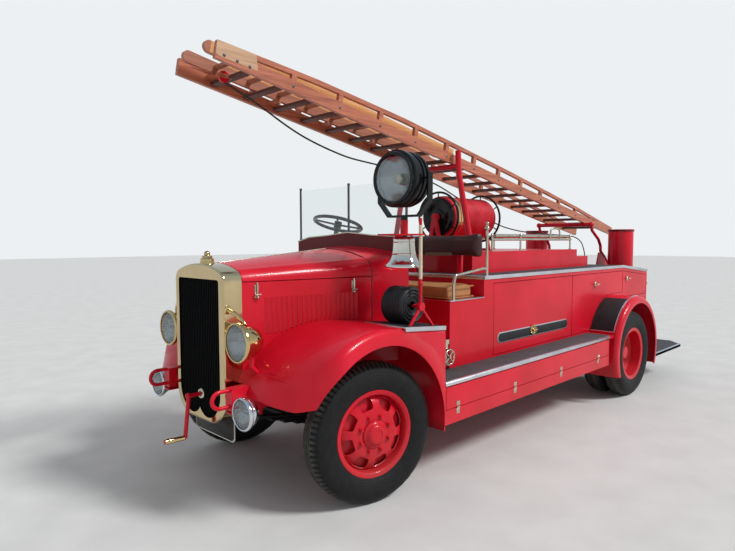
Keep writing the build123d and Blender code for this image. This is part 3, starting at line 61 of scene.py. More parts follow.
# %% Camera
CAMERA_PLACE = at(2.528, 3.298, 1.644)
YAW, PITCH, ROLL = radians(225.24), radians(-3.435), radians(-0.16)
look = Vector((cos(YAW) * cos(PITCH), sin(YAW) * cos(PITCH), sin(PITCH)))
camera_data = bpy.data.cameras.new("camera")
camera_data.sensor_width = 36.0
camera_data.lens = 28.07
camera = bpy.data.objects.new("camera", camera_data)
bpy.context.scene.collection.objects.link(camera)
camera.matrix_world = (Matrix.Translation(CAMERA_PLACE) @ look.to_track_quat("-Z", "Y").to_matrix().to_4x4()
                       @ Matrix.Rotation(ROLL, 4, "Z"))
bpy.context.scene.camera = camera
print("camera", tuple(round(v, 3) for v in CAMERA_PLACE), "lens", camera_data.lens)

# %% [markdown]
# The hauling line.
# A limp rope 13 mm thick runs from the pulley at the ladder's head back under the ladder and down to a stud
# on the deck. It carries nothing, so it hangs in one long shallow curve. A NURBS curve led by a list of
# points gives it, with the points about as far apart as a rope of this size can bend, and no simulation is
# needed.

# %% Hauling line
ROPE_THICK = 0.013
ROPE_ROUTE = [(0.548, 0, 2.662), (0.377, -0.010, 2.608), (0.212, -0.022, 2.541), (0.046, -0.044, 2.475),
              (-0.123, -0.060, 2.416), (-0.296, -0.064, 2.368), (-0.472, -0.080, 2.334), (-0.649, -0.108, 2.311),
              (-0.828, -0.113, 2.298), (-1.007, -0.132, 2.290), (-1.186, -0.140, 2.277), (-1.365, -0.137, 2.263),
              (-1.544, -0.146, 2.244), (-1.720, -0.171, 2.213), (-1.895, -0.181, 2.176), (-2.067, -0.199, 2.131),
              (-2.240, -0.221, 2.084), (-2.411, -0.221, 2.029), (-2.581, -0.233, 1.972), (-2.750, -0.237, 1.909),
              (-2.919, -0.227, 1.848), (-3.093, -0.226, 1.805), (-3.270, -0.219, 1.777), (-3.448, -0.198, 1.753),
              (-3.626, -0.180, 1.739), (-3.804, -0.166, 1.730), (-3.981, -0.132, 1.723), (-4.159, -0.104, 1.715),
              (-4.335, -0.078, 1.710), (-4.463, -0.048, 1.697), (-4.575, -0.027, 1.667), (-4.666, -0.017, 1.608),
              (-4.708, -0.006, 1.512), (-4.718, 0.002, 1.430), (-4.720, 0, 1.358)]
rope_data = bpy.data.curves.new("hauling_line", "CURVE")
rope_data.dimensions = "3D"
rope_data.bevel_depth = 1.0      # multiplied by each point's radius, which keeps the curve's own box tight
rope_data.bevel_resolution = 3
rope_data.resolution_u = 6
spline = rope_data.splines.new("NURBS")
spline.points.add(len(ROPE_ROUTE) - 1)
for point, place in zip(spline.points, ROPE_ROUTE):
    point.co = (*at(*place), 1)
    point.radius = ROPE_THICK / 2
spline.order_u = 3
spline.use_endpoint_u = True
hauling_line = bpy.data.objects.new("hauling_line", rope_data)
bpy.context.scene.collection.objects.link(hauling_line)
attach(hauling_line, "vehicle")
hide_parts("hauling_rope")

# %% [markdown]
# Colours and the node helper.
# Colours are written as a paint card gives them, in sRGB hex, and turned to the linear values that the
# shader wants. One small function adds a node with its settings, its links and, on a colour ramp, its
# stops, so that each finish below reads as a short recipe. A wave texture is measured once here: at scale 1
# one full wave of it is 2 pi / 20 of a metre long, so that length divided by a real spacing gives the
# scale.

# %% Colours and nodes
WAVE = 2 * pi / 20


def linear(code):
    """A hex colour as the linear red, green, blue and alpha of a shader."""
    parts = [int(code[i:i + 2], 16) / 255 for i in (1, 3, 5)]
    return (*[p / 12.92 if p <= 0.04045 else ((p + 0.055) / 1.055) ** 2.4 for p in parts], 1.0)


def add(tree, kind, sockets=None, stops=(), **settings):
    """Adds a node: sockets take a value or another socket, and stops are a ramp's places and hex colours."""
    node = tree.nodes.new(kind)
    for name, value in settings.items():
        setattr(node, name, value)
    for name, value in (sockets or {}).items():
        if isinstance(value, bpy.types.NodeSocket):
            tree.links.new(value, node.inputs[name])
        else:
            node.inputs[name].default_value = value
    for k, (place, code) in enumerate(stops):
        ramp = node.color_ramp.elements     # a new ramp has two stops, and the rest are added
        stop = ramp[k] if k < 2 else ramp.new(place)
        stop.position = place
        stop.color = linear(code)
    return node


def new_finish(name, **shader_values):
    """A material with its shader set, its tree and a socket of object coordinates."""
    material = bpy.data.materials.new(name)
    material.use_nodes = True
    tree = material.node_tree
    shader = tree.nodes["Principled BSDF"]
    for key, value in shader_values.items():
        shader.inputs[key.replace("_", " ")].default_value = value
    place = tree.nodes.new("ShaderNodeTexCoord").outputs["Object"]
    return material, tree, shader, place


# %% [markdown]
# Red coach enamel.
# Fire engines were brush painted in many coats of enamel, rubbed down and varnished. The eye sees a deep
# red with a clear gloss over it, a slight ripple from the brush, and road dust low down. So the shader gets
# a clear coat, a faint ripple in the bump at about 30 mm, a slow change of shade over half a metre, and a
# duller, browner film near the ground. Drawing dust by height keeps it off the bonnet, as on a show engine.

# %% Red enamel
DUST_TOP, DUST_FULL = 0.62, 0.20


def enamel(name, deep, bright, roughness=0.3):
    """Glossy coach enamel with a brush's ripple, a slow change of shade and a little road film low down."""
    material, tree, shader, place = new_finish(name, Roughness=roughness, Coat_Weight=0.2, Coat_Roughness=0.06,
                                               Specular_IOR_Level=0.18, IOR=1.5)
    slow = add(tree, "ShaderNodeTexNoise", {"Vector": place, "Scale": 2.2, "Detail": 3.0})
    paint = add(tree, "ShaderNodeValToRGB", {"Fac": slow.outputs["Fac"]}, stops=[(0.35, deep), (0.68, bright)])
    height = add(tree, "ShaderNodeSeparateXYZ", {"Vector": place}).outputs["Z"]
    grime = add(tree, "ShaderNodeTexNoise", {"Vector": place, "Scale": 9.0, "Detail": 6.0, "Roughness": 0.65})
    low_down = add(tree, "ShaderNodeMapRange", {"Value": height, "From Min": DUST_TOP, "From Max": DUST_FULL,
                                                "To Min": 0.0, "To Max": 0.35})
    film = add(tree, "ShaderNodeMath", {0: low_down.outputs["Result"], 1: grime.outputs["Fac"]},
               operation="MULTIPLY").outputs[0]
    dusty = add(tree, "ShaderNodeMix", {"Factor": film, "A": paint.outputs["Color"], "B": linear("#6E5A4E")},
                data_type="RGBA")
    tree.links.new(dusty.outputs["Result"], shader.inputs["Base Color"])
    rough = add(tree, "ShaderNodeMapRange", {"Value": film, "From Min": 0.0, "From Max": 0.3,
                                             "To Min": roughness, "To Max": roughness + 0.2})
    tree.links.new(rough.outputs["Result"], shader.inputs["Roughness"])
    ripple = add(tree, "ShaderNodeTexNoise", {"Vector": place, "Scale": 34.0, "Detail": 2.0})
    fine = add(tree, "ShaderNodeBump", {"Height": ripple.outputs["Fac"], "Strength": 0.035, "Distance": 0.01})
    tree.links.new(fine.outputs["Normal"], shader.inputs["Normal"])
    return material


red_enamel = enamel("red coach enamel", "#C10C20", "#D5162F")
# a darker copy of the red enamel: painted shade, for the screen band and the canister lids
red_enamel_painted_shade = enamel("red enamel with painted shade", "#560A10", "#681017", roughness=0.4)
black_enamel = enamel("black stove enamel", "#0B0B0D", "#151618", roughness=0.25)
chassis_black = enamel("chassis black", "#17181A", "#232427", roughness=0.5)
print("enamels made")

# %% [markdown]
# Plated and polished metal.
# The surround of the radiator and the lamps are polished by hand: brass shows yellow, nickel plate shows
# warm grey, chromium plate shows cold. A mirror has no colour pattern of its own, so what tells it from
# plastic is the small unevenness of its polish: fine swirls a few millimetres long in the roughness, and a
# slight tarnish in patches.

# %% Metals


def metal(name, tone, tarnish, roughness, brushed=0.0):
    """Polished or satin metal with patches of tarnish and the fine marks of a cloth or a brush."""
    material, tree, shader, place = new_finish(name, Metallic=1.0, Roughness=roughness)
    patches = add(tree, "ShaderNodeTexNoise", {"Vector": place, "Scale": 5.0, "Detail": 4.0, "Roughness": 0.5})
    colour = add(tree, "ShaderNodeValToRGB", {"Fac": patches.outputs["Fac"]},
                 stops=[(0.40, tone), (0.80, tarnish)])
    tree.links.new(colour.outputs["Color"], shader.inputs["Base Color"])
    marks = add(tree, "ShaderNodeTexNoise", {"Vector": place, "Scale": 160.0, "Detail": 4.0})
    rough = add(tree, "ShaderNodeMapRange", {"Value": marks.outputs["Fac"], "From Min": 0.3, "From Max": 0.75,
                                             "To Min": roughness * 0.8, "To Max": roughness * 1.3 + 0.01})
    tree.links.new(rough.outputs["Result"], shader.inputs["Roughness"])
    bump = add(tree, "ShaderNodeBump", {"Height": marks.outputs["Fac"], "Strength": 0.02 + brushed,
                                        "Distance": 0.002})
    tree.links.new(bump.outputs["Normal"], shader.inputs["Normal"])
    return material


polished_brass = metal("polished brass", "#DCC28C", "#C6A468", 0.08)
shell_nickel = metal("warm nickel silver", "#D3BF95", "#BEA578", 0.07)
nickel_plate = metal("nickel plate", "#D8D0BC", "#B9AE98", 0.16)
chromium_plate = metal("chromium plate", "#DFE3E6", "#C4C9CE", 0.07)
bell_metal = metal("polished bell metal", "#E3E1DA", "#C9C4B6", 0.14)
aluminium_trim = metal("anodised aluminium trim", "#DCDDE0", "#BFC1C5", 0.3, brushed=0.06)
dull_steel = metal("dull steel", "#6E7074", "#4B4C50", 0.45, brushed=0.1)
print("metals made")

# %% [markdown]
# Rubber.
# Tyres, treads and hose are all rubber, yet each looks its own: a tyre is black gone grey with dust in its
# grooves, the matting on the steps is ribbed and slate grey, and hose is smooth with a slight sheen. Real
# ribs on matting are 6 mm apart. At this distance they would melt into one grey, so they are drawn 16 mm
# apart.

# %% Rubber


def rubber(name, dark, light, roughness=0.62, grain=260.0, strength=0.12):
    """Vulcanised rubber, dusty in patches, with a fine grain."""
    material, tree, shader, place = new_finish(name, Roughness=roughness, Specular_IOR_Level=0.3, IOR=1.52)
    dust = add(tree, "ShaderNodeTexNoise", {"Vector": place, "Scale": 7.0, "Detail": 7.0, "Roughness": 0.7})
    colour = add(tree, "ShaderNodeValToRGB", {"Fac": dust.outputs["Fac"]}, stops=[(0.38, dark), (0.7, light)])
    tree.links.new(colour.outputs["Color"], shader.inputs["Base Color"])
    fine = add(tree, "ShaderNodeTexNoise", {"Vector": place, "Scale": grain, "Detail": 2.0})
    bump = add(tree, "ShaderNodeBump", {"Height": fine.outputs["Fac"], "Strength": strength,
                                        "Distance": 0.002})
    tree.links.new(bump.outputs["Normal"], shader.inputs["Normal"])
    rough = add(tree, "ShaderNodeMapRange", {"Value": dust.outputs["Fac"], "From Min": 0.35, "From Max": 0.7,
                                             "To Min": roughness - 0.08, "To Max": roughness + 0.15})
    tree.links.new(rough.outputs["Result"], shader.inputs["Roughness"])
    return material


def ribbed_matting(name, dark, light, spacing, direction):
    """Moulded rubber matting: straight ribs a fixed distance apart, worn paler on their tops."""
    material, tree, shader, place = new_finish(name, Roughness=0.7, IOR=1.52)
    ribs = add(tree, "ShaderNodeTexWave", {"Vector": place, "Scale": WAVE / spacing, "Distortion": 0.0},
               bands_direction=direction)
    dust = add(tree, "ShaderNodeTexNoise", {"Vector": place, "Scale": 11.0, "Detail": 6.0, "Roughness": 0.7})
    worn = add(tree, "ShaderNodeMath", {0: ribs.outputs["Fac"], 1: dust.outputs["Fac"]}, operation="MULTIPLY")
    colour = add(tree, "ShaderNodeValToRGB", {"Fac": worn.outputs[0]}, stops=[(0.05, dark), (0.62, light)])
    tree.links.new(colour.outputs["Color"], shader.inputs["Base Color"])
    bump = add(tree, "ShaderNodeBump", {"Height": ribs.outputs["Fac"], "Strength": 0.5, "Distance": 0.002})
    tree.links.new(bump.outputs["Normal"], shader.inputs["Normal"])
    return material


RIB = 0.016
black_rubber = rubber("black rubber", "#1B1C1E", "#303133")
hose_rubber = rubber("black hose rubber", "#17181A", "#2B2D30", roughness=0.5)
red_hose = rubber("red hose rubber", "#C01828", "#DC3442", roughness=0.42, grain=420.0, strength=0.2)
matting_along = ribbed_matting("slate ribbed matting", "#2E3033", "#5B5D60", RIB, "Y")
matting_across = ribbed_matting("slate cross ribbed matting", "#26282B", "#4C4E51", RIB, "X")
print("rubber made, ribs", RIB)

# %% [markdown]
# Timber.
# The ladder's sides are ash, stained reddish brown and varnished. The sliding section inside them is red
# stained pine with a face of clear varnished pine, and the rungs are oak painted dark as shade from below.
# Grain runs along the rails, so a noise stretched along the slope of the ladder gives it: it is turned by the
# ladder's 10 degrees, and is 25 times longer than wide. Varnish gives a thin clear coat over it.

# %% Timber
LADDER_TILT = radians(10.0)


def timber(name, dark, light, streak, roughness=0.45, coat=0.2):
    """Varnished or oiled timber with its grain along the ladder."""
    material, tree, shader, place = new_finish(name, Roughness=roughness, Coat_Weight=coat, Coat_Roughness=0.15)
    along = add(tree, "ShaderNodeMapping", {"Vector": place, "Rotation": (0.0, LADDER_TILT, 0.0),
                                            "Scale": (2.0, 50.0, 50.0)}).outputs["Vector"]
    grain = add(tree, "ShaderNodeTexNoise", {"Vector": along, "Scale": 1.0, "Detail": 6.0, "Roughness": 0.62,
                                             "Distortion": 0.35})
    body = add(tree, "ShaderNodeValToRGB", {"Fac": grain.outputs["Fac"]}, stops=[(0.3, dark), (0.72, light)])
    thin = add(tree, "ShaderNodeMapping", {"Vector": along, "Scale": (1.6, 5.0, 5.0)}).outputs["Vector"]
    pores = add(tree, "ShaderNodeTexNoise", {"Vector": thin, "Scale": 1.0, "Detail": 3.0})
    mask = add(tree, "ShaderNodeMapRange", {"Value": pores.outputs["Fac"], "From Min": 0.56, "From Max": 0.7,
                                            "To Min": 0.0, "To Max": 0.6})
    streaked = add(tree, "ShaderNodeMix", {"Factor": mask.outputs["Result"], "A": body.outputs["Color"],
                                           "B": linear(streak)}, data_type="RGBA")
    tree.links.new(streaked.outputs["Result"], shader.inputs["Base Color"])
    bump = add(tree, "ShaderNodeBump", {"Height": pores.outputs["Fac"], "Strength": 0.15, "Distance": 0.001})
    tree.links.new(bump.outputs["Normal"], shader.inputs["Normal"])
    return material


ladder_timber = timber("stained varnished ash", "#964C33", "#CC7A58", "#5A2A1C")
fly_timber = timber("red stained pine", "#94543A", "#B9765A", "#6A3420")
facing_timber = timber("clear varnished pine", "#D08A4C", "#E6AC6E", "#A9672F")
# the rungs' dark colour is painted shade, the shade under the ladder
rung_timber_painted_shade = timber("oak with painted shade", "#43231A", "#6B3D2B", "#2B140D", roughness=0.6, coat=0.0)
print("timber made")

# %% [markdown]
# Leather, glass, radiator matrix and rope.
# Seat hide has a pebble grain of about 4 mm and soft creases, which a Voronoi cell pattern and a noise
# give. Glass is thin and nearly clear, and a lamp's is fluted. The radiator's matrix is dull black with its
# tubes 10 mm apart, and the grooves between them are a little darker as painted shade. The rope is laid from
# three strands and painted dark for the shade it hangs in, so its painted light and shade lie aslant: a
# diagonal wave, one crest to a strand.

# %% Leather, glass and the rest


def leather(name, dark, light, roughness=0.42):
    """Upholstery hide: pebble grain, soft creases and paler rubbed places."""
    material, tree, shader, place = new_finish(name, Roughness=roughness, IOR=1.5)
    worn = add(tree, "ShaderNodeTexNoise", {"Vector": place, "Scale": 6.0, "Detail": 5.0, "Roughness": 0.65})
    colour = add(tree, "ShaderNodeValToRGB", {"Fac": worn.outputs["Fac"]}, stops=[(0.33, dark), (0.7, light)])
    tree.links.new(colour.outputs["Color"], shader.inputs["Base Color"])
    pebble = add(tree, "ShaderNodeTexVoronoi", {"Vector": place, "Scale": 260.0}, feature="DISTANCE_TO_EDGE")
    crease = add(tree, "ShaderNodeTexNoise", {"Vector": place, "Scale": 28.0, "Detail": 4.0})
    both = add(tree, "ShaderNodeMath", {0: pebble.outputs["Distance"], 1: crease.outputs["Fac"]},
               operation="ADD")
    bump = add(tree, "ShaderNodeBump", {"Height": both.outputs[0], "Strength": 0.22, "Distance": 0.002})
    tree.links.new(bump.outputs["Normal"], shader.inputs["Normal"])
    rough = add(tree, "ShaderNodeMapRange", {"Value": worn.outputs["Fac"], "From Min": 0.3, "From Max": 0.75,
                                             "To Min": roughness + 0.1, "To Max": roughness - 0.08})
    tree.links.new(rough.outputs["Result"], shader.inputs["Roughness"])
    return material


def clear(name, tint, roughness, fluted=0.0):
    """Thin glass, with upright flutes where it is a lamp's lens."""
    material, tree, shader, place = new_finish(name, Roughness=roughness, IOR=1.45, Transmission_Weight=1.0,
                                               Base_Color=linear(tint))
    if fluted:
        flutes = add(tree, "ShaderNodeTexWave", {"Vector": place, "Scale": WAVE / fluted}, bands_direction="Y")
        bump = add(tree, "ShaderNodeBump", {"Height": flutes.outputs["Fac"], "Strength": 0.35,
                                            "Distance": 0.002})
        tree.links.new(bump.outputs["Normal"], shader.inputs["Normal"])
    return material


def radiator_matrix():
    """Black painted matrix, its film tubes showing between the slats, with painted shade in the grooves between
    tubes.
    """
    material, tree, shader, place = new_finish("black radiator matrix", Roughness=0.85, Specular_IOR_Level=0.15)
    tubes = add(tree, "ShaderNodeTexWave", {"Vector": place, "Scale": WAVE / 0.010}, bands_direction="Z")
    # the wave's low part, the groove between tubes, is painted darker: painted shade
    colour = add(tree, "ShaderNodeValToRGB", {"Fac": tubes.outputs["Fac"]},
                 stops=[(0.2, "#050506"), (0.9, "#101113")])
    tree.links.new(colour.outputs["Color"], shader.inputs["Base Color"])
    bump = add(tree, "ShaderNodeBump", {"Height": tubes.outputs["Fac"], "Strength": 0.4, "Distance": 0.003})
    tree.links.new(bump.outputs["Normal"], shader.inputs["Normal"])
    return material


def laid_rope():
    """Hemp rope painted dark as shade: three strands that twist once in 42 mm, with loose fibres and painted
    shade between them.
    """
    material, tree, shader, place = new_finish("hemp rope with painted shade", Roughness=0.85)
    twist = add(tree, "ShaderNodeTexWave", {"Vector": place, "Scale": WAVE / 0.014, "Distortion": 1.5,
                                            "Detail": 2.0}, bands_direction="DIAGONAL")
    # crests light and grooves dark: painted light and shade along the strands, on a colour darkened as painted
    # shade
    colour = add(tree, "ShaderNodeValToRGB", {"Fac": twist.outputs["Fac"]},
                 stops=[(0.15, "#1B1815"), (0.9, "#4A4239")])
    tree.links.new(colour.outputs["Color"], shader.inputs["Base Color"])
    bump = add(tree, "ShaderNodeBump", {"Height": twist.outputs["Fac"], "Strength": 0.7, "Distance": 0.002})
    tree.links.new(bump.outputs["Normal"], shader.inputs["Normal"])
    return material


tan_leather = leather("tan hide", "#A0683A", "#C48A55")
maroon_leather = leather("maroon hide", "#2C0E10", "#4B181A", roughness=0.38)
screen_glass = clear("screen glass", "#F2F7F6", 0.0)
lens_glass = clear("fluted lens glass", "#D3D9DA", 0.03, fluted=0.012)
matrix_black = radiator_matrix()
rope_painted_shade = laid_rope()
rope_data.materials.append(rope_painted_shade)
print("leather, glass, matrix and rope made")

# %% [markdown]
# Finishes on the frame's pieces.
# Each piece of the frame gets the finish of its real counterpart, also where a finer piece will stand for
# it. A table of finish by piece is the plainest way, and it shows at a glance that none is left with the
# stand-in colour.

# %% Finish of each frame piece
FINISH = {
    red_enamel: ["body_shell", "bonnet_lid_left", "bonnet_lid_right", "bonnet_sides", "chassis_frame",
                 "cross_members", "crank", "deck_box", "front_wheel_left", "front_wheel_right", "front_wings",
                 "gallows", "hose_stand", "lamp_bracket", "rear_bracket", "rear_drums", "rear_wheels_left",
                 "rear_wheels_right", "rear_wings", "running_boards", "scuttle", "skirt_flap_left",
                 "skirt_flap_right"]
                + [f"locker_door_{side}_{k}" for side in ("left", "right") for k in (1, 2, 3)],
    black_enamel: ["searchlight_yoke", "steering_column", "steering_wheel", "searchlight_head"],
    chassis_black: ["drag_link", "drop_arm", "engine_block", "front_axle", "knuckle_left", "knuckle_right",
                    "leaf_springs", "rear_axle", "tie_rod"],
    nickel_plate: ["pipework"],
    shell_nickel: ["radiator_shell"],
    polished_brass: ["lamps"],
    bell_metal: ["bell"],
    matrix_black: ["radiator_core"],
    black_rubber: ["front_tyre_left", "front_tyre_right", "rear_tyres_left", "rear_tyres_right", "hose_reel",
                   "suction_hose"],
    matting_across: ["rear_step"],
    ladder_timber: ["ladder_main"],
    fly_timber: ["ladder_fly"],
    tan_leather: ["seat_cushion"],
    maroon_leather: ["seat_back"],
    screen_glass: ["windscreen"],
    rope_painted_shade: ["hauling_rope"],
}
for finish, names in FINISH.items():
    for name in names:
        nodes[name].data.materials.clear()
        nodes[name].data.materials.append(finish)
left_bare = set(nodes) - {name for names in FINISH.values() for name in names}
print("finished", sum(len(names) for names in FINISH.values()), "left bare", sorted(left_bare))

# %% [markdown]
# Helpers for new pieces.
# Most trims are turned, sawn from sheet, or bent from tube, so a few small helpers make those shapes as a
# workshop would: a profile spun round an axis, an outline given thickness, a block with broken edges, and a
# tube along a line. Each gives a bmesh that already stands in its place. A last helper joins shapes into
# one finished piece, turns its faces outwards, smooths all but its sharp edges, and makes it ride on the
# body that carries it.

# %% Helpers for new pieces
UP = Vector((0, 0, 1))


def spun(profile, steps):
    """A profile of (radius, distance along the axis) spun round the z axis, at the origin."""
    shape = bmesh.new()
    verts = [shape.verts.new((radius, 0, along)) for radius, along in profile]
    edges = [shape.edges.new(ends) for ends in zip(verts, verts[1:])]
    bmesh.ops.spin(shape, geom=verts + edges, cent=(0, 0, 0), axis=(0, 0, 1), dvec=(0, 0, 0), angle=2 * pi,
                   steps=steps, use_merge=True)
    bmesh.ops.remove_doubles(shape, verts=shape.verts, dist=1e-6)
    return shape


def stood(shape, centre, axis):
    """A shape turned from the z axis to another, and moved to its place."""
    turn = UP.rotation_difference(Vector(axis)).to_matrix().to_4x4()
    bmesh.ops.transform(shape, matrix=Matrix.Translation(at(*centre)) @ turn, verts=shape.verts)
    return shape


def turned(profile, centre, axis=(0, 0, 1), steps=48):
    """A spun profile that stands on an axis through a place."""
    return stood(spun(profile, steps), centre, axis)


def softened(shape, width, segments=2):
    """Breaks the sharp edges of a closed shape."""
    sharp = [edge for edge in shape.edges if edge.is_manifold and edge.calc_face_angle() > radians(30)]
    bmesh.ops.bevel(shape, geom=sharp, offset=width, offset_type="OFFSET", affect="EDGES", segments=segments,
                    profile=0.5, material=-1, clamp_overlap=True)
    return shape


def sawn(outline, start, end, across, width=0.0):
    """An outline cut from sheet: its two numbers are the two axes other than the one across the sheet."""
    shape = bmesh.new()
    index = "xyz".index(across)
    corners = []
    for flat in outline:
        place = list(flat)
        place.insert(index, start)
        corners.append(shape.verts.new(at(*place)))
    face = shape.faces.new(corners)
    grown = bmesh.ops.extrude_face_region(shape, geom=[face], use_keep_orig=True)
    step = Vector([end - start if k == index else 0.0 for k in range(3)])
    moved = [item for item in grown["geom"] if isinstance(item, bmesh.types.BMVert)]
    bmesh.ops.translate(shape, verts=moved, vec=step)
    bmesh.ops.recalc_face_normals(shape, faces=shape.faces)
    return softened(shape, width) if width else shape


def slab(x, y, z, width=0.002, segments=2):
    """A block between limits on each axis, with broken edges."""
    shape = bmesh.new()
    bmesh.ops.create_cube(shape, size=1.0)
    bmesh.ops.scale(shape, vec=[abs(b - a) for a, b in (x, y, z)], verts=shape.verts)
    bmesh.ops.translate(shape, vec=at(*[(a + b) / 2 for a, b in (x, y, z)]), verts=shape.verts)
    return softened(shape, width, segments)


def tube(places, radius, smooth=False, closed=False, rounds=3):
    """A round tube or bar along a line of places."""
    line = bpy.data.curves.new("tube", "CURVE")
    line.dimensions = "3D"
    line.bevel_depth = radius
    line.bevel_resolution = rounds
    line.use_fill_caps = True
    run = line.splines.new("NURBS" if smooth else "POLY")
    run.points.add(len(places) - 1)
    for point, place in zip(run.points, places):
        point.co = (*at(*place), 1)
    if smooth:
        run.order_u = 3
        run.use_endpoint_u = not closed
    run.use_cyclic_u = closed
    holder = bpy.data.objects.new("tube", line)
    skin = bpy.data.meshes.new_from_object(holder)
    shape = bmesh.new()
    shape.from_mesh(skin)
    bpy.data.objects.remove(holder)
    bpy.data.curves.remove(line)
    bpy.data.meshes.remove(skin)
    bmesh.ops.remove_doubles(shape, verts=shape.verts, dist=1e-6)
    return shape


def pair(shape):
    """A shape and its twin on the engine's other side."""
    twin = shape.copy()
    bmesh.ops.scale(twin, vec=(1, -1, 1), verts=twin.verts)
    bmesh.ops.reverse_faces(twin, faces=twin.faces)
    return [shape, twin]


def piece(name, shapes, finish, body, sharp=40, stands_for=()):
    """Joins shapes into one finished piece that rides on a body."""
    whole = bmesh.new()
    for shape in shapes:
        part = bpy.data.meshes.new("part")
        shape.to_mesh(part)
        shape.free()
        whole.from_mesh(part)
        bpy.data.meshes.remove(part)
    bmesh.ops.recalc_face_normals(whole, faces=whole.faces)
    data = bpy.data.meshes.new(name)
    whole.to_mesh(data)
    whole.free()
    data.materials.append(finish)
    data.shade_smooth()
    data.set_sharp_from_angle(angle=radians(sharp))
    made = bpy.data.objects.new(name, data)
    bpy.context.scene.collection.objects.link(made)
    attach(made, body)
    if stands_for:
        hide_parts(*stands_for)
    print(name, len(data.polygons), "faces")
    return made


# %% [markdown]
# Tyres.
# A truck tyre of this age is a tall black ring with round shoulders. Its tread has notches cut in the
# shoulders and a few grooves round the middle. The tyre is one spun profile. The notches follow the tread
# round, so they need a pattern that knows the distance round and across: a UV map in metres, made from each
# corner's angle and from the length along the profile. Notches are 35 mm apart, as on the photographed
# tyre.

# %% Tyre shape and its map
TYRE_R, TYRE_STEPS = 0.445, 40
SHOULDER = [(0.445, 0.043), (0.430, 0.071), (0.398, 0.089), (0.345, 0.095), (0.296, 0.083), (0.256, 0.060)]


def tyre_shape(centre, axis):
    """One tyre, with a map of metres round it and metres from the tread's middle line."""
    loop = [(r, -y) for r, y in reversed(SHOULDER)] + SHOULDER
    shape = spun(loop + loop[:1], TYRE_STEPS)
    run, across = 0.0, {}
    last = (TYRE_R, 0.0)
    for r, y in SHOULDER:
        run += hypot(r - last[0], y - last[1])
        last = (r, y)
        across[round(r, 4)] = run
    layer = shape.loops.layers.uv.new("round_and_across")
    for face in shape.faces:
        angles = [atan2(corner.vert.co.y, corner.vert.co.x) for corner in face.loops]
        for corner, angle in zip(face.loops, angles):
            wrapped = angle + 2 * pi if max(angles) - angle > pi else angle
            place = corner.vert.co
            distance = across[round(hypot(place.x, place.y), 4)]
            corner[layer].uv = (wrapped * TYRE_R, distance if place.z > 0 else -distance)
    return stood(shape, centre, axis)


# %% Tyre rubber
NOTCH, GROOVE, RING = 0.035, 0.019, 0.016       # how far apart the notches, tread grooves and wall rings are


def tyre_rubber():
    """Black tyre rubber: notched shoulders, three grooves round the tread, painted shade in the notches and
    grooves, road dust on the tread's top.
    """
    material, tree, shader, place = new_finish("tyre rubber", Roughness=0.6, Specular_IOR_Level=0.25, IOR=1.52)
    uv = add(tree, "ShaderNodeUVMap", uv_map="round_and_across").outputs["UV"]
    plan = add(tree, "ShaderNodeSeparateXYZ", {"Vector": uv})
    away = add(tree, "ShaderNodeMath", {0: plan.outputs["Y"]}, operation="ABSOLUTE").outputs[0]

    def zone(start, stop, first, last):
        """A number that goes from first to last between two distances from the middle line."""
        return add(tree, "ShaderNodeMapRange", {"Value": away, "From Min": start, "From Max": stop,
                                                "To Min": first, "To Max": last}).outputs["Result"]

    def stripes(socket, spacing, low, high, where):
        """Bands a fixed distance apart in a zone, as wide as the two levels of a sine say."""
        scaled = add(tree, "ShaderNodeMath", {0: socket, 1: 2 * pi / spacing}, operation="MULTIPLY")
        wave = add(tree, "ShaderNodeMath", {0: scaled.outputs[0]}, operation="SINE")
        bands = add(tree, "ShaderNodeMapRange", {"Value": wave.outputs[0], "From Min": low, "From Max": high})
        return add(tree, "ShaderNodeMath", {0: bands.outputs["Result"], 1: where},
                   operation="MULTIPLY").outputs[0]

    on_shoulder = add(tree, "ShaderNodeMath", {0: zone(0.034, 0.040, 0.0, 1.0), 1: zone(0.082, 0.092, 1.0, 0.0)},
                      operation="MULTIPLY").outputs[0]
    notches = stripes(plan.outputs["X"], NOTCH, 0.05, 0.35, on_shoulder)
    grooves = stripes(away, GROOVE, 0.35, 0.7, zone(0.030, 0.036, 1.0, 0.0))
    rings = stripes(away, RING, 0.5, 0.9, zone(0.12, 0.13, 0.0, 0.18))
    cuts = add(tree, "ShaderNodeMath", {0: notches, 1: grooves}, operation="MAXIMUM").outputs[0]
    grit = add(tree, "ShaderNodeTexNoise", {"Vector": place, "Scale": 24.0, "Detail": 7.0, "Roughness": 0.7})
    wall = add(tree, "ShaderNodeValToRGB", {"Fac": grit.outputs["Fac"]},
               stops=[(0.35, "#0C0C0D"), (0.75, "#1B1B1C")]).outputs["Color"]
    dusty = add(tree, "ShaderNodeValToRGB", {"Fac": grit.outputs["Fac"]},
                stops=[(0.3, "#33322F"), (0.7, "#63615B")]).outputs["Color"]
    skin = add(tree, "ShaderNodeMix", {"Factor": zone(0.045, 0.085, 0.85, 0.0), "A": wall, "B": dusty},
               data_type="RGBA").outputs["Result"]
    # notches and grooves painted near black: painted shade in the cuts
    cut = add(tree, "ShaderNodeMix", {"Factor": cuts, "A": skin, "B": linear("#0A0A0A")}, data_type="RGBA")
    tree.links.new(cut.outputs["Result"], shader.inputs["Base Color"])
    raised = add(tree, "ShaderNodeMath", {0: rings, 1: cuts}, operation="SUBTRACT").outputs[0]
    bump = add(tree, "ShaderNodeBump", {"Height": raised, "Strength": 0.9, "Distance": 0.006})
    tree.links.new(bump.outputs["Normal"], shader.inputs["Normal"])
    return material


